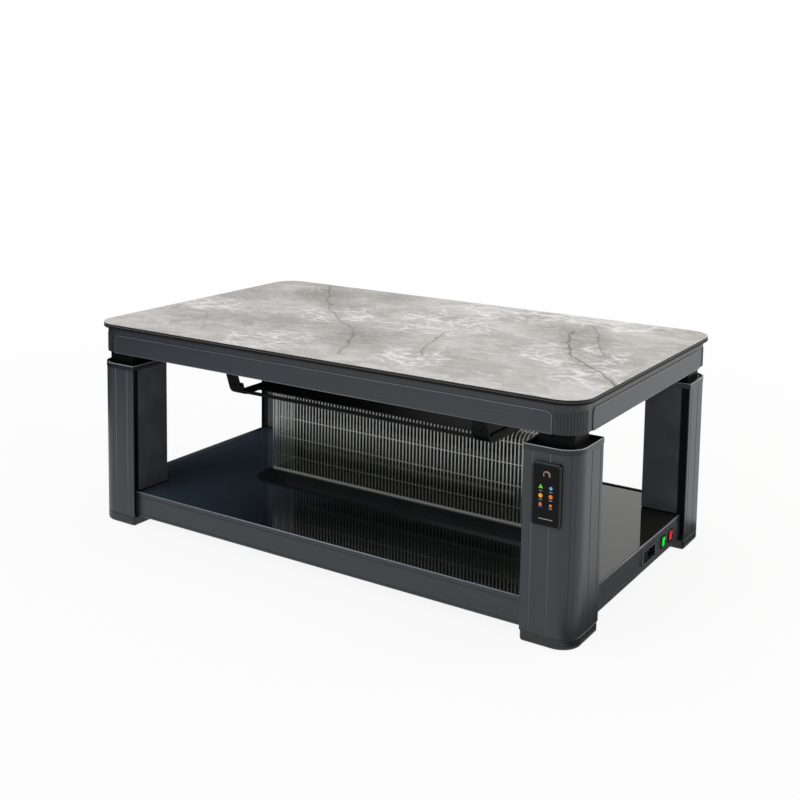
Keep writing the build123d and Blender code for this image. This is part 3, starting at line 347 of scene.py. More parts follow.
def ribbedFinish():
    # ribs run up the rounded face: a painted highlight on their tops and painted shade in their valleys, by
    # the turn round the arc's middle
    made = Finish("graphite_ribbed", Specular_IOR_Level=0.45)
    x, y, z = made.axes()
    overX, overY = abs(x) - ribbing["arcX"], abs(y) - ribbing["arcY"]
    turn = made.node("Math", {"operation": "ARCTAN2"}, {0: overY, 1: overX})
    count = ribbing["inTurn"]
    wave = made.node("Math", {"operation": "COSINE"}, {0: (turn - pi / count) * count})
    onRibs = (overX > 0.0) * (overY > 0.0) * (z < ribbing["top"])
    fine = made.noise(made.stretched(alongZ), 1.0, 5.0, 0.62)
    plain = made.mix(made.between(fine, 0.3, 0.7), paint(36, 40, 45), paint(45, 49, 54))
    # the ribs' dark valleys are painted shade and their light tops a painted highlight
    ribs = made.mix(made.between(wave, -0.6, 0.8), paint(4, 5, 6), paint(40, 44, 49))
    made.set(Base_Color=made.mix(onRibs, plain, ribs), Roughness=0.34 + fine * 0.12)
    return made.bump(fine, 0.00005, 0.5)


def inletFinish():
    # a grey flange round a black well: the well lies behind the flange's face
    made = Finish("inlet_moulding", Specular_IOR_Level=0.12)
    x, y, z = made.axes()
    grain = made.noise(made.place, 500.0, 3.0, 0.5)
    (middleY, halfY), (middleZ, halfZ) = inlet["wellY"], inlet["wellZ"]
    inWell = (abs(y - middleY) < halfY) * (abs(z - middleZ) < halfZ)
    frameTone = made.mix(made.between(grain, 0.3, 0.7), paint(62, 64, 66), paint(76, 78, 80))
    wellTone = made.mix(made.between(grain, 0.3, 0.7), paint(5, 5, 6), paint(10, 10, 11))
    onFace = (x > inlet["face"]) * (1.0 - inWell)
    made.set(Base_Color=made.mix(onFace, wellTone, frameTone), Roughness=0.32 + grain * 0.12)
    return made.bump(grain, 0.00004, 0.5)


def quartzFinish():
    # sleeved heater rod: milky tube with faint coil turns inside
    made = Finish("quartz_rod", Specular_IOR_Level=0.4)
    bands = {"wave_type": "BANDS", "bands_direction": "X"}
    turns = made.node("TexWave", bands, {"Vector": made.place, "Scale": 60.0})
    colour = made.mix(made.node("RGBToBW", {}, {0: turns}) * 0.6, paint(58, 56, 52), paint(38, 36, 33))
    return made.set(Base_Color=colour, Roughness=0.25 + made.noise(made.place, 200.0) * 0.1)


def rockerFinish(name, colour):
    # translucent rocker with a lamp behind it: its tone wanders a little
    made = Finish(name, Specular_IOR_Level=0.1, Emission_Strength=0.75)
    cloud = made.noise(made.place, 120.0, 2.0, 0.5)
    deep = tuple(0.6 * level for level in colour[:3]) + (1.0,)
    tone = made.mix(made.between(cloud, 0.3, 0.7), deep, colour)
    return made.set(Base_Color=tone, Emission_Color=tone, Roughness=0.28 + cloud * 0.1)


graphite = paint(47, 51, 57)
finishes = {
    "stone": stoneFinish(),
    "railX": brushedFinish("graphite_along_x", graphite, alongX, 0.36, Specular_IOR_Level=0.45),
    "railY": brushedFinish("graphite_along_y", graphite, alongY, 0.36, Specular_IOR_Level=0.45),
    "upright": brushedFinish("graphite_upright", graphite, alongZ, 0.36, Specular_IOR_Level=0.45),
    "cap": mouldedFinish("graphite_cap", paint(26, 29, 33), 0.3, Specular_IOR_Level=0.4),
    # the covers' grey is painted lighter than the covers are: painted light standing in for the shade on the
    # legs' inner faces
    "cover": mouldedFinish("folded_cover", paint(90, 91, 95), 0.55, 500.0, Specular_IOR_Level=0.12),
    "ribbed": ribbedFinish(),
    # the beads' pale greys are painted highlights, where rounded edges catch the light
    "edge": brushedFinish("graphite_painted_highlight_edge", paint(102, 106, 111), alongZ, 0.3, Specular_IOR_Level=0.5),
    "brightEdge": brushedFinish("painted_highlight_edge", paint(160, 168, 180), alongX, 0.28, Specular_IOR_Level=0.5),
    "column": brushedFinish("column_anodised", paint(10, 11, 12), alongZ, 0.4, Specular_IOR_Level=0.05),
    "bezel": mouldedFinish("bezel_moulding", paint(12, 12, 13), 0.45, Specular_IOR_Level=0.12),
    "board": mouldedFinish("dark_board", paint(22, 23, 24), 0.6, 300.0, Specular_IOR_Level=0.1),
    "blackMetal": brushedFinish("black_anodised", paint(12, 14, 15), alongZ, 0.4, Specular_IOR_Level=0.08),
    "blackCoat": mouldedFinish("black_powder_coat", paint(9, 12, 13), 0.42, 600.0, Specular_IOR_Level=0.12),
    "pan": mouldedFinish("dark_underside", paint(20, 21, 22), 0.55, 400.0, Specular_IOR_Level=0.1),
    "plinth": mouldedFinish("plinth_coat", paint(25, 28, 30), 0.24, 500.0, Specular_IOR_Level=0.45),
    "core": troughFinish(),
    "glass": shelfFinish(),
    "black": mouldedFinish("black_moulding", paint(14, 15, 17), 0.4, Specular_IOR_Level=0.25),
    "gloss": mouldedFinish("gloss_moulding", paint(7, 8, 10), 0.14, 200.0, 0.00001, Specular_IOR_Level=0.3),
    "panelEdge": mouldedFinish(
        "panel_bevel", paint(20, 21, 25), 0.16, 200.0, 0.00001, Specular_IOR_Level=0.4
    ),
    "screen": mouldedFinish(
        "screen_glass", paint(9, 9, 11), 0.08, 200.0, 0.000005, Specular_IOR_Level=0.12
    ),
    "inlet": inletFinish(),
    "foot": mouldedFinish("foot_moulding", paint(40, 42, 45), 0.38, Specular_IOR_Level=0.4),
    "wire": wireFinish(),
    "steel": mouldedFinish("bright_screw", paint(190, 190, 186), 0.3, 900.0, Metallic=1.0),
    "drive": mouldedFinish("drive_casting", paint(96, 98, 100), 0.4, 400.0, Metallic=0.9),
    "quartz": quartzFinish(),
    "green": rockerFinish("rocker_green_lens", paint(22, 214, 66)),
    "red": rockerFinish("rocker_red_lens", paint(226, 40, 44)),
}
nodeFinish = {
    "stone_slab": "stone", "backing_board": "board", "underside_pan": "pan", "corner_block": "ribbed",
    "apron_rail_front": "railX", "apron_rail_back": "railX", "apron_rail_left": "railY",
    "apron_rail_right": "railY", "lower_rail_front": "railX", "lower_rail_back": "railX",
    "lower_rail_left": "railY", "lower_rail_right": "railY", "leg_shell": "upright", "leg_cap": "cap",
    "leg_cover": "cover", "leg_channel": "blackMetal", "lift_column": "column", "foot": "foot",
    "lift_motors": "drive", "lift_rods": "steel", "cap_screws": "steel", "guard_screws": "blackCoat",
    "guard_straps": "blackCoat", "guard_bar": "blackCoat", "heat_shield": "blackCoat",
    "shelf_board": "board", "shelf_glass": "glass", "control_box": "black", "heater_plinth": "plinth",
    "heater_core": "core", "heater_rods": "quartz", "heater_cage": "wire", "inlet_body": "inlet",
    "inlet_pins": "steel", "rocker_bezels": "bezel", "rocker_green": "green", "rocker_red": "red",
    "panel_housing": "gloss", "panel_screen": "screen",
}
for nodeName, node in nodes.items():
    kind = max((key for key in nodeFinish if nodeName.startswith(key)), key=len)
    for slot in node.material_slots:
        slot.material = finishes[nodeFinish[kind]].material
print("finishes on every node")


# ---- building meshes ----

def newPiece(name, points, faces, finish, slotName, smooth=True, body="base"):
    mesh = bpy.data.meshes.new(name)
    mesh.from_pydata(np.asarray(points, float).reshape(-1, 3).tolist(), [], [list(face) for face in faces])
    mesh.polygons.foreach_set("use_smooth", np.full(len(mesh.polygons), smooth))
    mesh.materials.append(finishes[finish].material)
    mesh.update()
    piece = bpy.data.objects.new(name, mesh)
    bpy.context.scene.collection.objects.link(piece)
    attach(piece, body)
    return piece


def gridFaces(rows, columns, closedRows, first=0):
    # quads of a grid whose columns run round in a ring; rows join up end to end where closedRows
    index = first + np.arange(rows * columns).reshape(rows, columns)
    nextRow = np.roll(index, -1, 0) if closedRows else index[1:]
    here = index if closedRows else index[:-1]
    return np.stack([here, np.roll(here, -1, 1), np.roll(nextRow, -1, 1), nextRow], -1).reshape(-1, 4)


def tubes(paths, radius, sides, across, closed=False):
    # each path point plus a circle in the plane of its normal and the fixed direction across;
    # paths is (count, points, 3), and all of its paths are bent in the plane square to across
    paths = np.asarray(paths, float)
    if closed:
        ahead = np.roll(paths, -1, 1) - np.roll(paths, 1, 1)
    else:
        ahead = np.gradient(paths, axis=1)
    ahead /= np.linalg.norm(ahead, axis=2, keepdims=True)
    across = np.broadcast_to(np.asarray(across, float), ahead.shape)
    normal = np.cross(across, ahead)
    turn = np.arange(sides) * 2 * pi / sides
    rings = (
        paths[:, :, None, :]
        + radius * np.cos(turn)[None, None, :, None] * normal[:, :, None, :]
        + radius * np.sin(turn)[None, None, :, None] * across[:, :, None, :]
    )
    count, points = paths.shape[:2]
    faces = []
    for number in range(count):
        first = number * points * sides
        faces += gridFaces(points, sides, closed, first).tolist()
        if not closed:
            faces.append(list(range(first, first + sides))[::-1])
            faces.append(list(range(first + (points - 1) * sides, first + points * sides)))
    return rings.reshape(-1, 3), faces


def joined(parts):
    # several (points, faces) pairs as one
    points, faces, first = [], [], 0
    for partPoints, partFaces in parts:
        points.append(partPoints)
        faces += [[first + corner for corner in face] for face in partFaces]
        first += len(partPoints)
    return np.concatenate(points), faces


def roundedLoop(halfX, halfY, radius, steps):
    # a rectangle with round corners in the XY plane: four quarter circles joined by straights
    turn = np.linspace(0, pi / 2, steps)
    corners = []
    for quarter, (sideX, sideY) in enumerate([(1, 1), (-1, 1), (-1, -1), (1, -1)]):
        angle = turn + quarter * pi / 2
        corners.append(np.stack([
            sideX * (halfX - radius) + radius * np.cos(angle),
            sideY * (halfY - radius) + radius * np.sin(angle),
        ], -1))
    return np.concatenate(corners)


# ---- the heater's wire cage ----

cage = {
    "wireRadius": 0.0015,
    "tieRadius": 0.0010,
    "hoops": 78,
    "endWires": 15,
    "bendRadius": 0.022,
    "bendSteps": 6,
    "tieStep": 0.050,
    "tieDrop": 0.004,
    "ties": 4,
    "topTies": (-0.042, 0.0, 0.042),
    "rimHeight": 0.005,
    "rimDepth": 0.0036,
}


def wireCage():
    # a hoop is a line up, a quarter circle, a line across and back down; hoops repeat along X
    low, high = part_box("heater_cage")
    radius = cage["wireRadius"]
    middleX = (low.x + high.x) / 2
    halfX = (high.x - low.x) / 2 - radius
    halfY = (high.y - low.y) / 2 - radius
    top = high.z - radius
    bend = cage["bendRadius"] - radius
    turn = np.linspace(0, pi / 2, cage["bendSteps"])
    sideY = np.concatenate([[-halfY], -halfY + bend - bend * np.cos(turn)])
    sideZ = np.concatenate([[low.z], top - bend + bend * np.sin(turn)])
    hoop = np.stack([np.concatenate([sideY, -sideY[::-1]]), np.concatenate([sideZ, sideZ[::-1]])], -1)
    places = middleX + np.linspace(-halfX, halfX, cage["hoops"])
    paths = np.zeros((len(places), len(hoop), 3))
    paths[:, :, 0] = places[:, None]
    paths[:, :, 1:] = hoop
    parts = [tubes(paths, radius, 8, (1, 0, 0))]

    # end wires: upright, and tied to the last hoop at their tops
    endY = np.linspace(-halfY, halfY, cage["endWires"] + 2)[1:-1]
    endTop = top - bend + np.sqrt(np.maximum(bend**2 - np.maximum(abs(endY) - (halfY - bend), 0) ** 2, 0))
    for side in (-1, 1):
        ends = np.zeros((len(endY), 2, 3))
        ends[:, :, 0] = middleX + side * (halfX + 0.0006)
        ends[:, :, 1] = endY[:, None]
        ends[:, 0, 2], ends[:, 1, 2] = low.z, endTop
        parts.append(tubes(ends, radius, 8, (1, 0, 0)))

    # ties: closed loops just inside the uprights, and straight wires under the top
    loop = roundedLoop(halfX - 1.6 * radius, halfY - 1.6 * radius, 0.006, 4)
    for row in range(cage["ties"]):
        level = high.z - cage["bendRadius"] - cage["tieDrop"] - row * cage["tieStep"]
        ring = np.concatenate([loop + [middleX, 0], np.full((len(loop), 1), level)], 1)
        parts.append(tubes(ring[None], cage["tieRadius"], 8, (0, 0, 1), closed=True))
    for offset in cage["topTies"]:
        level = top - 1.8 * radius
        run = [[[middleX - halfX, offset, level], [middleX + halfX, offset, level]]]
        parts.append(tubes(run, cage["tieRadius"], 8, (0, 0, 1)))
    return joined(parts)


def cageRim():
    # a flat bright strip round the foot of the cage: a rectangle section carried round a rounded loop
    low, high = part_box("heater_cage")
    middleX = (low.x + high.x) / 2
    halfX, halfY = (high.x - low.x) / 2 + 0.0006, (high.y - low.y) / 2 + 0.0006
    rings = []
    for inset, level in ((0.0, 0.0), (0.0, 1.0), (1.0, 1.0), (1.0, 0.0)):
        gap = inset * cage["rimDepth"]
        loop = roundedLoop(halfX - gap, halfY - gap, 0.0055 - 0.9 * gap, 5)
        rings.append(np.concatenate([
            loop + [middleX, 0], np.full((len(loop), 1), low.z + level * cage["rimHeight"])
        ], 1))
    grid = np.stack(rings, 1)
    return grid.reshape(-1, 3), gridFaces(len(grid), 4, True).tolist()


cagePiece = newPiece("wire_cage", *wireCage(), "wire", "wire_steel")
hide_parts("heater_cage")
newPiece("cage_rim", *cageRim(), "wire", "wire_steel", smooth=False)
print("wire cage:", len(cagePiece.data.polygons), "faces")


# ---- bright edges: beads that sit on the rounded corners of the metal; the pale ones carry a painted highlight ----

edges = {
    # each bead: how deep its middle lies below the faces, and its radius
    "onRound": (0.00115, 0.0012),
    "onCorner": (0.0005, 0.0010),
    "onCap": (0.0006, 0.0009),
    "inFlute": (0.0005, 0.0009),
    "onPanel": (0.0010, 0.00125),
    "beadSides": 8,
    "padTop": 0.478,
    "padTurn": 0.011,
    "padGap": 0.0004,
    "railHalf": (0.5322, 0.2662),    # half of the clear run between two legs, along X and along Y
    "legCorner": 0.045,
    "capTurn": 0.002,
    "flutes": (0.5475, 0.5855),
    "fluteGaps": (0.0010, 0.0005),   # at the foot and at the cap
    "panelTurn": 0.007,
}
legs = [(sideX, sideY) for sideX in (-1, 1) for sideY in (-1, 1)]


def legBox(part, sideX, sideY):
    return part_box(part + ("_back" if sideY > 0 else "_front") + ("_right" if sideX > 0 else "_left"))


def railBox(part, rail):
    # a rail's box, the axes of its length and of its outer face, and where that face lies
    low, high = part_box(part + rail)
    lengthAxis, faceAxis = (0, 1) if rail in ("front", "back") else (1, 0)
    out = max(abs(low[faceAxis]), high[faceAxis])
    return low, high, lengthAxis, faceAxis, -out if rail in ("front", "left") else out


def straight(start, stop, across, bead):
    return tubes([[start, stop]], bead[1], edges["beadSides"], across)


def padEdges():
    # up one side of the pad, round, along its top and down, then a straight bead along its foot
    parts = []
    for rail in ("front", "back", "left", "right"):
        low, high, lengthAxis, faceAxis, face = railBox("apron_rail_", rail)
        half, inward, across = high[lengthAxis], -np.sign(face), np.eye(3)[faceAxis]
        sunk, radius = edges["onRound"]
        turn = np.linspace(0, pi / 2, 6)
        reach, top, bend = half - sunk, edges["padTop"] - sunk, edges["padTurn"] - sunk
        along = np.concatenate([[-reach], -(reach - bend) - bend * np.cos(turn)])
        rise = np.concatenate([[low.z + edges["padGap"]], top - bend + bend * np.sin(turn)])
        path = np.zeros((1, 2 * len(along), 3))
        path[0, :, lengthAxis] = np.concatenate([along, -along[::-1]])
        path[0, :, faceAxis] = face + inward * sunk
        path[0, :, 2] = np.concatenate([rise, rise[::-1]])
        parts.append(tubes(path, radius, edges["beadSides"], across))
        sunk = edges["onCorner"][0]
        ends = np.zeros((2, 3))
        ends[:, lengthAxis] = edges["padGap"] - half, half - edges["padGap"]
        ends[:, faceAxis] = face + inward * sunk
        ends[:, 2] = low.z + sunk
        parts.append(straight(*ends, across, edges["onCorner"]))
    return joined(parts)


def railEdges():
    # a straight bead along the top of each lower rail's outer face
    parts, sunk = [], edges["onCorner"][0]
    for rail in ("front", "back", "left", "right"):
        _, high, lengthAxis, faceAxis, face = railBox("lower_rail_", rail)
        half = edges["railHalf"][lengthAxis]
        ends = np.zeros((2, 3))
        ends[:, lengthAxis] = -half, half
        ends[:, faceAxis] = face - np.sign(face) * sunk
        ends[:, 2] = high.z - sunk
        parts.append(straight(*ends, np.eye(3)[faceAxis], edges["onCorner"]))
    return joined(parts)


def capEdges():
    # round the top of each leg's cap: the wide turn at the table's corner and three tight ones
    sunk, radius = edges["onCap"]
    turn = np.linspace(0, pi / 2, 9)
    parts = []
    for sideX, sideY in legs:
        low, high = legBox("leg_cap", sideX, sideY)
        nearX, farX = sorted((abs(low.x), abs(high.x)))
        nearY, farY = sorted((abs(low.y), abs(high.y)))
        wide, tight = edges["legCorner"], edges["capTurn"]
        corners = (
            (farX - wide, farY - wide, wide), (nearX + tight, farY - tight, tight),
            (nearX + tight, nearY + tight, tight), (farX - tight, nearY + tight, tight),
        )
        loop = []
        for quarter, (x, y, bend) in enumerate(corners):
            angle = turn + quarter * pi / 2
            reach = bend - sunk
            loop.append(np.stack([x + reach * np.cos(angle), y + reach * np.sin(angle)], -1))
        loop = np.concatenate(loop) * (sideX, sideY)
        ring = np.concatenate([loop, np.full((len(loop), 1), high.z - sunk)], 1)
        parts.append(tubes(ring[None], radius, edges["beadSides"], (0, 0, 1), closed=True))
    return joined(parts)


def fluteEdges():
    # upright beads in the flutes of each leg's front or back face
    parts, sunk = [], edges["inFlute"][0]
    footGap, capGap = edges["fluteGaps"]
    for sideX, sideY in legs:
        low, high = legBox("leg_shell", sideX, sideY)
        face = sideY * (max(abs(low.y), high.y) - sunk)
        for flute in edges["flutes"]:
            start, stop = (sideX * flute, face, low.z + footGap), (sideX * flute, face, high.z - capGap)
            parts.append(straight(start, stop, (0.0, 1.0, 0.0), edges["inFlute"]))
    return joined(parts)


def panelEdge():
    # a closed bead round the front of the panel's housing
    low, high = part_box("panel_housing")
    sunk, radius = edges["onPanel"]
    halfX, halfZ = (high.x - low.x) / 2 - sunk, (high.z - low.z) / 2 - sunk
    loop = roundedLoop(halfX, halfZ, edges["panelTurn"] - sunk, 6)
    ring = np.zeros((1, len(loop), 3))
    ring[0, :, 0] = (low.x + high.x) / 2 + loop[:, 0]
    ring[0, :, 1] = low.y + sunk
    ring[0, :, 2] = (low.z + high.z) / 2 + loop[:, 1]
    return tubes(ring, radius, edges["beadSides"], (0.0, 1.0, 0.0), closed=True)


newPiece("apron_pad_edges", *padEdges(), "edge", "graphite_aluminium", body="lift")
newPiece("lower_rail_edges", *railEdges(), "brightEdge", "graphite_aluminium")
newPiece("leg_cap_edges", *capEdges(), "brightEdge", "graphite_aluminium")
newPiece("leg_flute_edges", *fluteEdges(), "edge", "graphite_aluminium")
newPiece("panel_edge", *panelEdge(), "panelEdge", "black_glass")
print("bright edges")


# ---- the touch panel's lit marks ----

panel = {
    "columns": (-0.0118, 0.0098),          # from the screen's middle, along X
    "rows": (0.0155, -0.0020, -0.0205),    # from the screen's middle, along Z
    "iconReach": 0.0047,
    "lift": 0.00014,
    "ringMiddle": (0.0005, 0.0410),
    "ringReach": 0.0076,
    "ringWidth": 0.0015,
    "barReach": 0.0150,
    "barLevel": -0.0478,
    "barHeight": 0.0014,
}
iconColours = {
    "green": paint(120, 206, 72), "blue": paint(96, 178, 214), "amber": paint(236, 160, 52),
    "orange": paint(226, 116, 38), "yellow": paint(224, 206, 56), "violet": paint(104, 92, 190),
    "pale": paint(150, 149, 153), "cream": paint(170, 136, 106), "red": paint(196, 52, 34),
}
for colourName, colour in iconColours.items():
    lit = Finish("lit_" + colourName, Specular_IOR_Level=0.1, Emission_Strength=0.42)
    flicker = lit.noise(lit.place, 700.0, 2.0, 0.5)
    deep = tuple(0.7 * level for level in colour[:3]) + (1.0,)
    tone = lit.mix(lit.between(flicker, 0.2, 0.8), deep, colour)
    lit.set(Base_Color=tone, Emission_Color=tone, Roughness=0.4 + flicker * 0.1)
    finishes["lit_" + colourName] = lit

screenLow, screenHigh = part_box("panel_screen")
screenX, screenZ = (screenLow.x + screenHigh.x) / 2, (screenLow.z + screenHigh.z) / 2


def flatMark(outline, deep=0.0008):
    # an outline of (x, z) about the screen's middle, as a thin closed plate on the screen's face
    outline = np.asarray(outline, float)
    count = len(outline)
    plate = np.zeros((2, count, 3))
    plate[:, :, 0] = screenX + outline[:, 0]
    plate[:, :, 2] = screenZ + outline[:, 1]
    plate[0, :, 1] = screenLow.y - panel["lift"]
    plate[1, :, 1] = screenLow.y + deep
    faces = [list(range(count)), list(range(count, 2 * count))[::-1]]
    for corner in range(count):
        follow = (corner + 1) % count
        faces.append([corner, count + corner, count + follow, follow])
    return plate.reshape(-1, 3), faces


def polar(middle, reach, turns):
    return np.stack([middle[0] + reach * np.cos(turns), middle[1] + reach * np.sin(turns)], -1)


around = np.linspace(0, 2 * pi, 24, endpoint=False)


def disc(middle, reach):
    return flatMark(polar(middle, reach, around))


def leafMark(middle, reach):
    # radius swells into three lobes: reach times 0.72 plus 0.28 of the cosine of three turns
    return flatMark(polar(middle, reach * (0.72 + 0.28 * np.cos(3 * around + pi / 2)), around))


def starMark(middle, reach):
    return flatMark(polar(middle, reach * (0.80 + 0.20 * np.cos(6 * around)), around))


def barMark(middle, halfLength, halfHeight):
    # a bar with round ends
    ends = np.linspace(-pi / 2, pi / 2, 7)
    right = polar((middle[0] + halfLength - halfHeight, middle[1]), halfHeight, ends)
    left = polar((middle[0] - halfLength + halfHeight, middle[1]), halfHeight, ends + pi)
    return flatMark(np.concatenate([right, left]))


def arcMark(middle, reach, width, start, stop):
    # part of a ring: out along the large radius and back along the small one
    steps = 22
    last = 2 * steps - 1
    turns = np.linspace(start, stop, steps)
    outline = np.concatenate([polar(middle, reach, turns), polar(middle, reach - width, turns[::-1])])
    points, faces = flatMark(outline)
    ladder = [[k, k + 1, last - k - 1, last - k] for k in range(steps - 1)]
    back = [[2 * steps + corner for corner in face][::-1] for face in ladder]
    return points, ladder + back + faces[2:]


left, right = panel["columns"]
upper, middleRow, lower = panel["rows"]
reach = panel["iconReach"]
litParts = {
    "green": [leafMark((left, upper), reach)],
    "blue": [starMark((right, upper), 0.88 * reach)],
    "amber": [disc((left, middleRow), 0.9 * reach), barMark((left, lower + 0.0008), 0.0034, 0.0011)],
    "orange": [disc((right, middleRow + 0.0006), 0.9 * reach), disc((right, lower + 0.0016), 0.62 * reach)],
    "yellow": [disc((left, lower + 0.0012), 0.4 * reach)],
    "red": [barMark((left, lower + 0.0048), 0.0028, 0.0011)],
    "violet": [barMark((left, lower - 0.0030), 0.0040, 0.0012)],
    "cream": [
        arcMark(panel["ringMiddle"], panel["ringReach"], panel["ringWidth"], radians(-35), radians(215))
    ],
    "pale": [
        barMark((left, upper - 0.0078), 0.0036, 0.0006), barMark((right, upper - 0.0078), 0.0036, 0.0006),
        barMark((left, middleRow - 0.0076), 0.0036, 0.0006),
        barMark((right, middleRow - 0.0072), 0.0036, 0.0006),
        barMark((right, lower - 0.0046), 0.0036, 0.0008),
        barMark((0.0, panel["barLevel"]), panel["barReach"], panel["barHeight"] / 2),
        arcMark(panel["ringMiddle"], 0.0052, 0.0009, radians(-35), radians(120)),
    ],
}
for colourName, marks in litParts.items():
    newPiece("panel_light_" + colourName, *joined(marks), "lit_" + colourName, "black_glass", smooth=False)
print("panel lights")


# ---- floor, lamps and camera ----

room = {
    "floorReach": 14.0,
    "floorTone": 0.90,
    "glow": (0.90, 1.0),   # share of plain white in the floor near the table and far from it
    "glowReach": (0.9, 3.2),
    "daylight": 0.38,      # what the white surroundings give to matt surfaces
    # black cloths that only mirrors see: one hung to the left, and a mat along the right of the legs that is
    # a painted shadow of the table on the floor, seen only in reflections
    "cloths": {
        "dark_wall": [(-1.5, -3.5, 0.0), (-1.5, 2.6, 0.0), (-1.5, 2.6, 1.5), (-1.5, -3.5, 1.5)],
        "reflected_floor_shadow": [
            (0.645, -0.5, 0.0006), (0.735, -0.5, 0.0006), (0.735, 0.46, 0.0006), (0.645, 0.46, 0.0006)
        ],
    },
    "lamps": {
        # name: place, aim, size, level on a surface that faces it
        "overhead": ((-0.2, 0.2, 3.2), (0.0, 0.0, 0.5), 2.6, 0.46, (1.0, 1.0, 1.0)),
        "rightWindow": ((3.2, 2.4, 1.6), (0.4, 0.0, 0.3), 2.0, 0.42, (1.0, 0.96, 0.84)),
        "frontBank": ((-1.2, -3.6, 2.6), (0.0, 0.0, 0.3), 2.2, 0.32, (0.94, 0.98, 1.0)),
    },
}


def seenStraight(tree):
    # 1 for camera, mirror and glass rays
    rays = tree.nodes.new("ShaderNodeLightPath")
    total = None
    for name in ("Is Camera Ray", "Is Glossy Ray", "Is Transmission Ray"):
        if total is None:
            total = rays.outputs[name]
            continue
        either = tree.nodes.new("ShaderNodeMath")
        either.operation = "MAXIMUM"
        tree.links.new(total, either.inputs[0])
        tree.links.new(rays.outputs[name], either.inputs[1])
        total = either.outputs[0]
    return total


def makeFloor():
    half = room["floorReach"]
    mesh = bpy.data.meshes.new("studio_floor")
    corners = [(-half, -half, 0), (half, -half, 0), (half, half, 0), (-half, half, 0)]
    mesh.from_pydata(corners, [], [(0, 1, 2, 3)])
    material = bpy.data.materials.new("pale_floor")
    material.use_nodes = True
    tree = material.node_tree
    tree.nodes.clear()
    matt = tree.nodes.new("ShaderNodeBsdfDiffuse")
    matt.inputs["Color"].default_value = (room["floorTone"],) * 3 + (1.0,)
    white = tree.nodes.new("ShaderNodeEmission")
    place = tree.nodes.new("ShaderNodeTexCoord")
    away = tree.nodes.new("ShaderNodeVectorMath")
    away.operation = "LENGTH"
    tree.links.new(place.outputs["Object"], away.inputs[0])
    fade = tree.nodes.new("ShaderNodeMapRange")
    fade.interpolation_type = "SMOOTHSTEP"
    fade.inputs["From Min"].default_value, fade.inputs["From Max"].default_value = room["glowReach"]
    fade.inputs["To Min"].default_value, fade.inputs["To Max"].default_value = room["glow"]
    tree.links.new(away.outputs["Value"], fade.inputs["Value"])
    share = tree.nodes.new("ShaderNodeMath")
    share.operation = "MULTIPLY"
    tree.links.new(fade.outputs[0], share.inputs[1])
    tree.links.new(seenStraight(tree), share.inputs[0])
    blend = tree.nodes.new("ShaderNodeMixShader")
    tree.links.new(share.outputs[0], blend.inputs[0])
    tree.links.new(matt.outputs[0], blend.inputs[1])
    tree.links.new(white.outputs[0], blend.inputs[2])
    output = tree.nodes.new("ShaderNodeOutputMaterial")
    tree.links.new(blend.outputs[0], output.inputs["Surface"])
    mesh.materials.append(material)
    floor = bpy.data.objects.new("studio_floor", mesh)
    bpy.context.scene.collection.objects.link(floor)


def hangCloths():
    # out of the picture: they give the glass and the metal their dark side; the mat stands in for the
    # table's shadow on the floor
    material = bpy.data.materials.new("black_cloth")
    material.use_nodes = True
    shader = material.node_tree.nodes["Principled BSDF"]
    shader.inputs["Base Color"].default_value = (0.004, 0.004, 0.004, 1.0)
    shader.inputs["Roughness"].default_value = 1.0
    shader.inputs["Specular IOR Level"].default_value = 0.0
    for name, corners in room["cloths"].items():
        mesh = bpy.data.meshes.new(name)
        mesh.from_pydata(corners, [], [(0, 1, 2, 3)])
        mesh.materials.append(material)
        cloth = bpy.data.objects.new(name, mesh)
        cloth.visible_camera = cloth.visible_diffuse = False
        cloth.visible_shadow = cloth.visible_transmission = False
        bpy.context.scene.collection.objects.link(cloth)


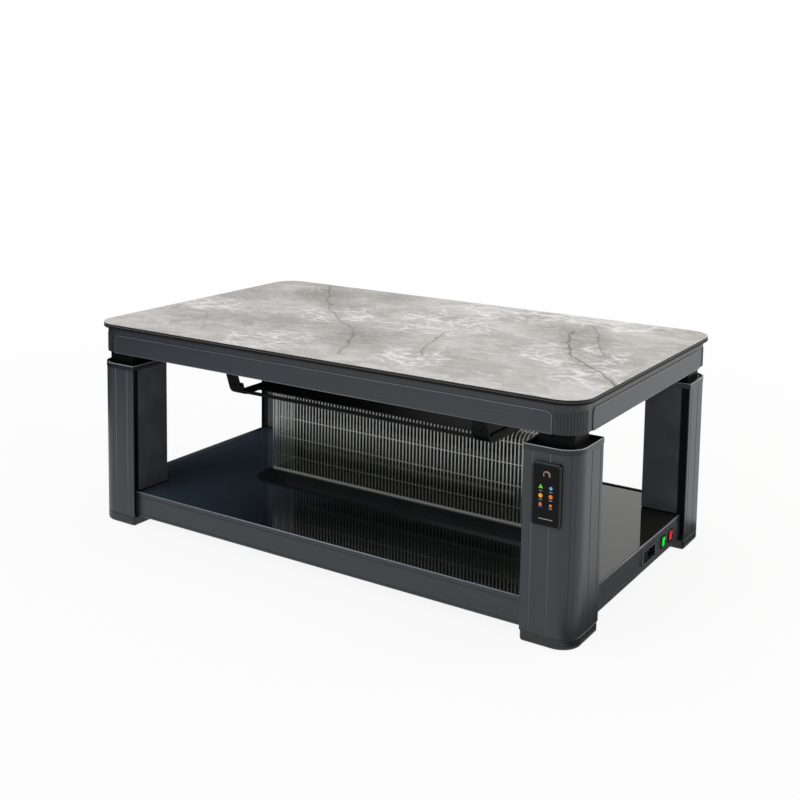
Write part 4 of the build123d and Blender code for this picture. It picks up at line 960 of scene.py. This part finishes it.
def makeWorld():
    world = bpy.data.worlds.new("studio")
    bpy.context.scene.world = world
    world.use_nodes = True
    tree = world.node_tree
    background = tree.nodes["Background"]
    background.inputs["Color"].default_value = (1.0, 1.0, 1.0, 1.0)
    level = tree.nodes.new("ShaderNodeMapRange")
    level.inputs["To Min"].default_value = room["daylight"]
    level.inputs["To Max"].default_value = 1.0
    tree.links.new(seenStraight(tree), level.inputs["Value"])
    tree.links.new(level.outputs[0], background.inputs["Strength"])


def makeLamps():
    # a small lamp gives a surface a level of power over (pi squared times the distance squared)
    for name, (place, aim, size, level, tint) in room["lamps"].items():
        light = bpy.data.lights.new(name, "AREA")
        light.size = size
        light.color = tint
        away = Vector(place) - Vector(aim)
        light.energy = level * pi**2 * away.length**2
        lamp = bpy.data.objects.new(name, light)
        lamp.location = place
        lamp.rotation_euler = away.to_track_quat("Z", "Y").to_euler()
        bpy.context.scene.collection.objects.link(lamp)


def makeCamera():
    # yaw to the left of +Y, then a pitch down and a slight roll; the shift keeps uprights upright
    view = {
        "place": (1.532, -2.492, 1.108), "yaw": 34.285, "pitch": 6.521, "roll": -0.565,
        "focalPixels": 1207.4, "centreX": 345.6, "centreY": 218.3, "frame": 800, "sensor": 36.0,
    }
    yaw, pitch, roll = (radians(view[key]) for key in ("yaw", "pitch", "roll"))
    ahead = Vector((-sin(yaw) * cos(pitch), cos(yaw) * cos(pitch), -sin(pitch)))
    level = Vector((cos(yaw), sin(yaw), 0.0))
    down = ahead.cross(level)
    rightWay = cos(roll) * level + sin(roll) * down
    upWay = -(-sin(roll) * level + cos(roll) * down)
    lens = bpy.data.cameras.new("studio_camera")
    lens.sensor_width = view["sensor"]
    lens.lens = view["sensor"] * view["focalPixels"] / view["frame"]
    lens.shift_x = (view["frame"] / 2 - view["centreX"]) / view["frame"]
    lens.shift_y = (view["centreY"] - view["frame"] / 2) / view["frame"]
    camera = bpy.data.objects.new("studio_camera", lens)
    camera.matrix_world = Matrix((rightWay, upWay, -ahead)).transposed().to_4x4()
    camera.location = view["place"]
    bpy.context.scene.collection.objects.link(camera)
    bpy.context.scene.camera = camera


makeFloor()
hangCloths()
makeWorld()
makeLamps()
makeCamera()
bpy.context.scene.view_settings.view_transform = "Standard"
print("studio set")
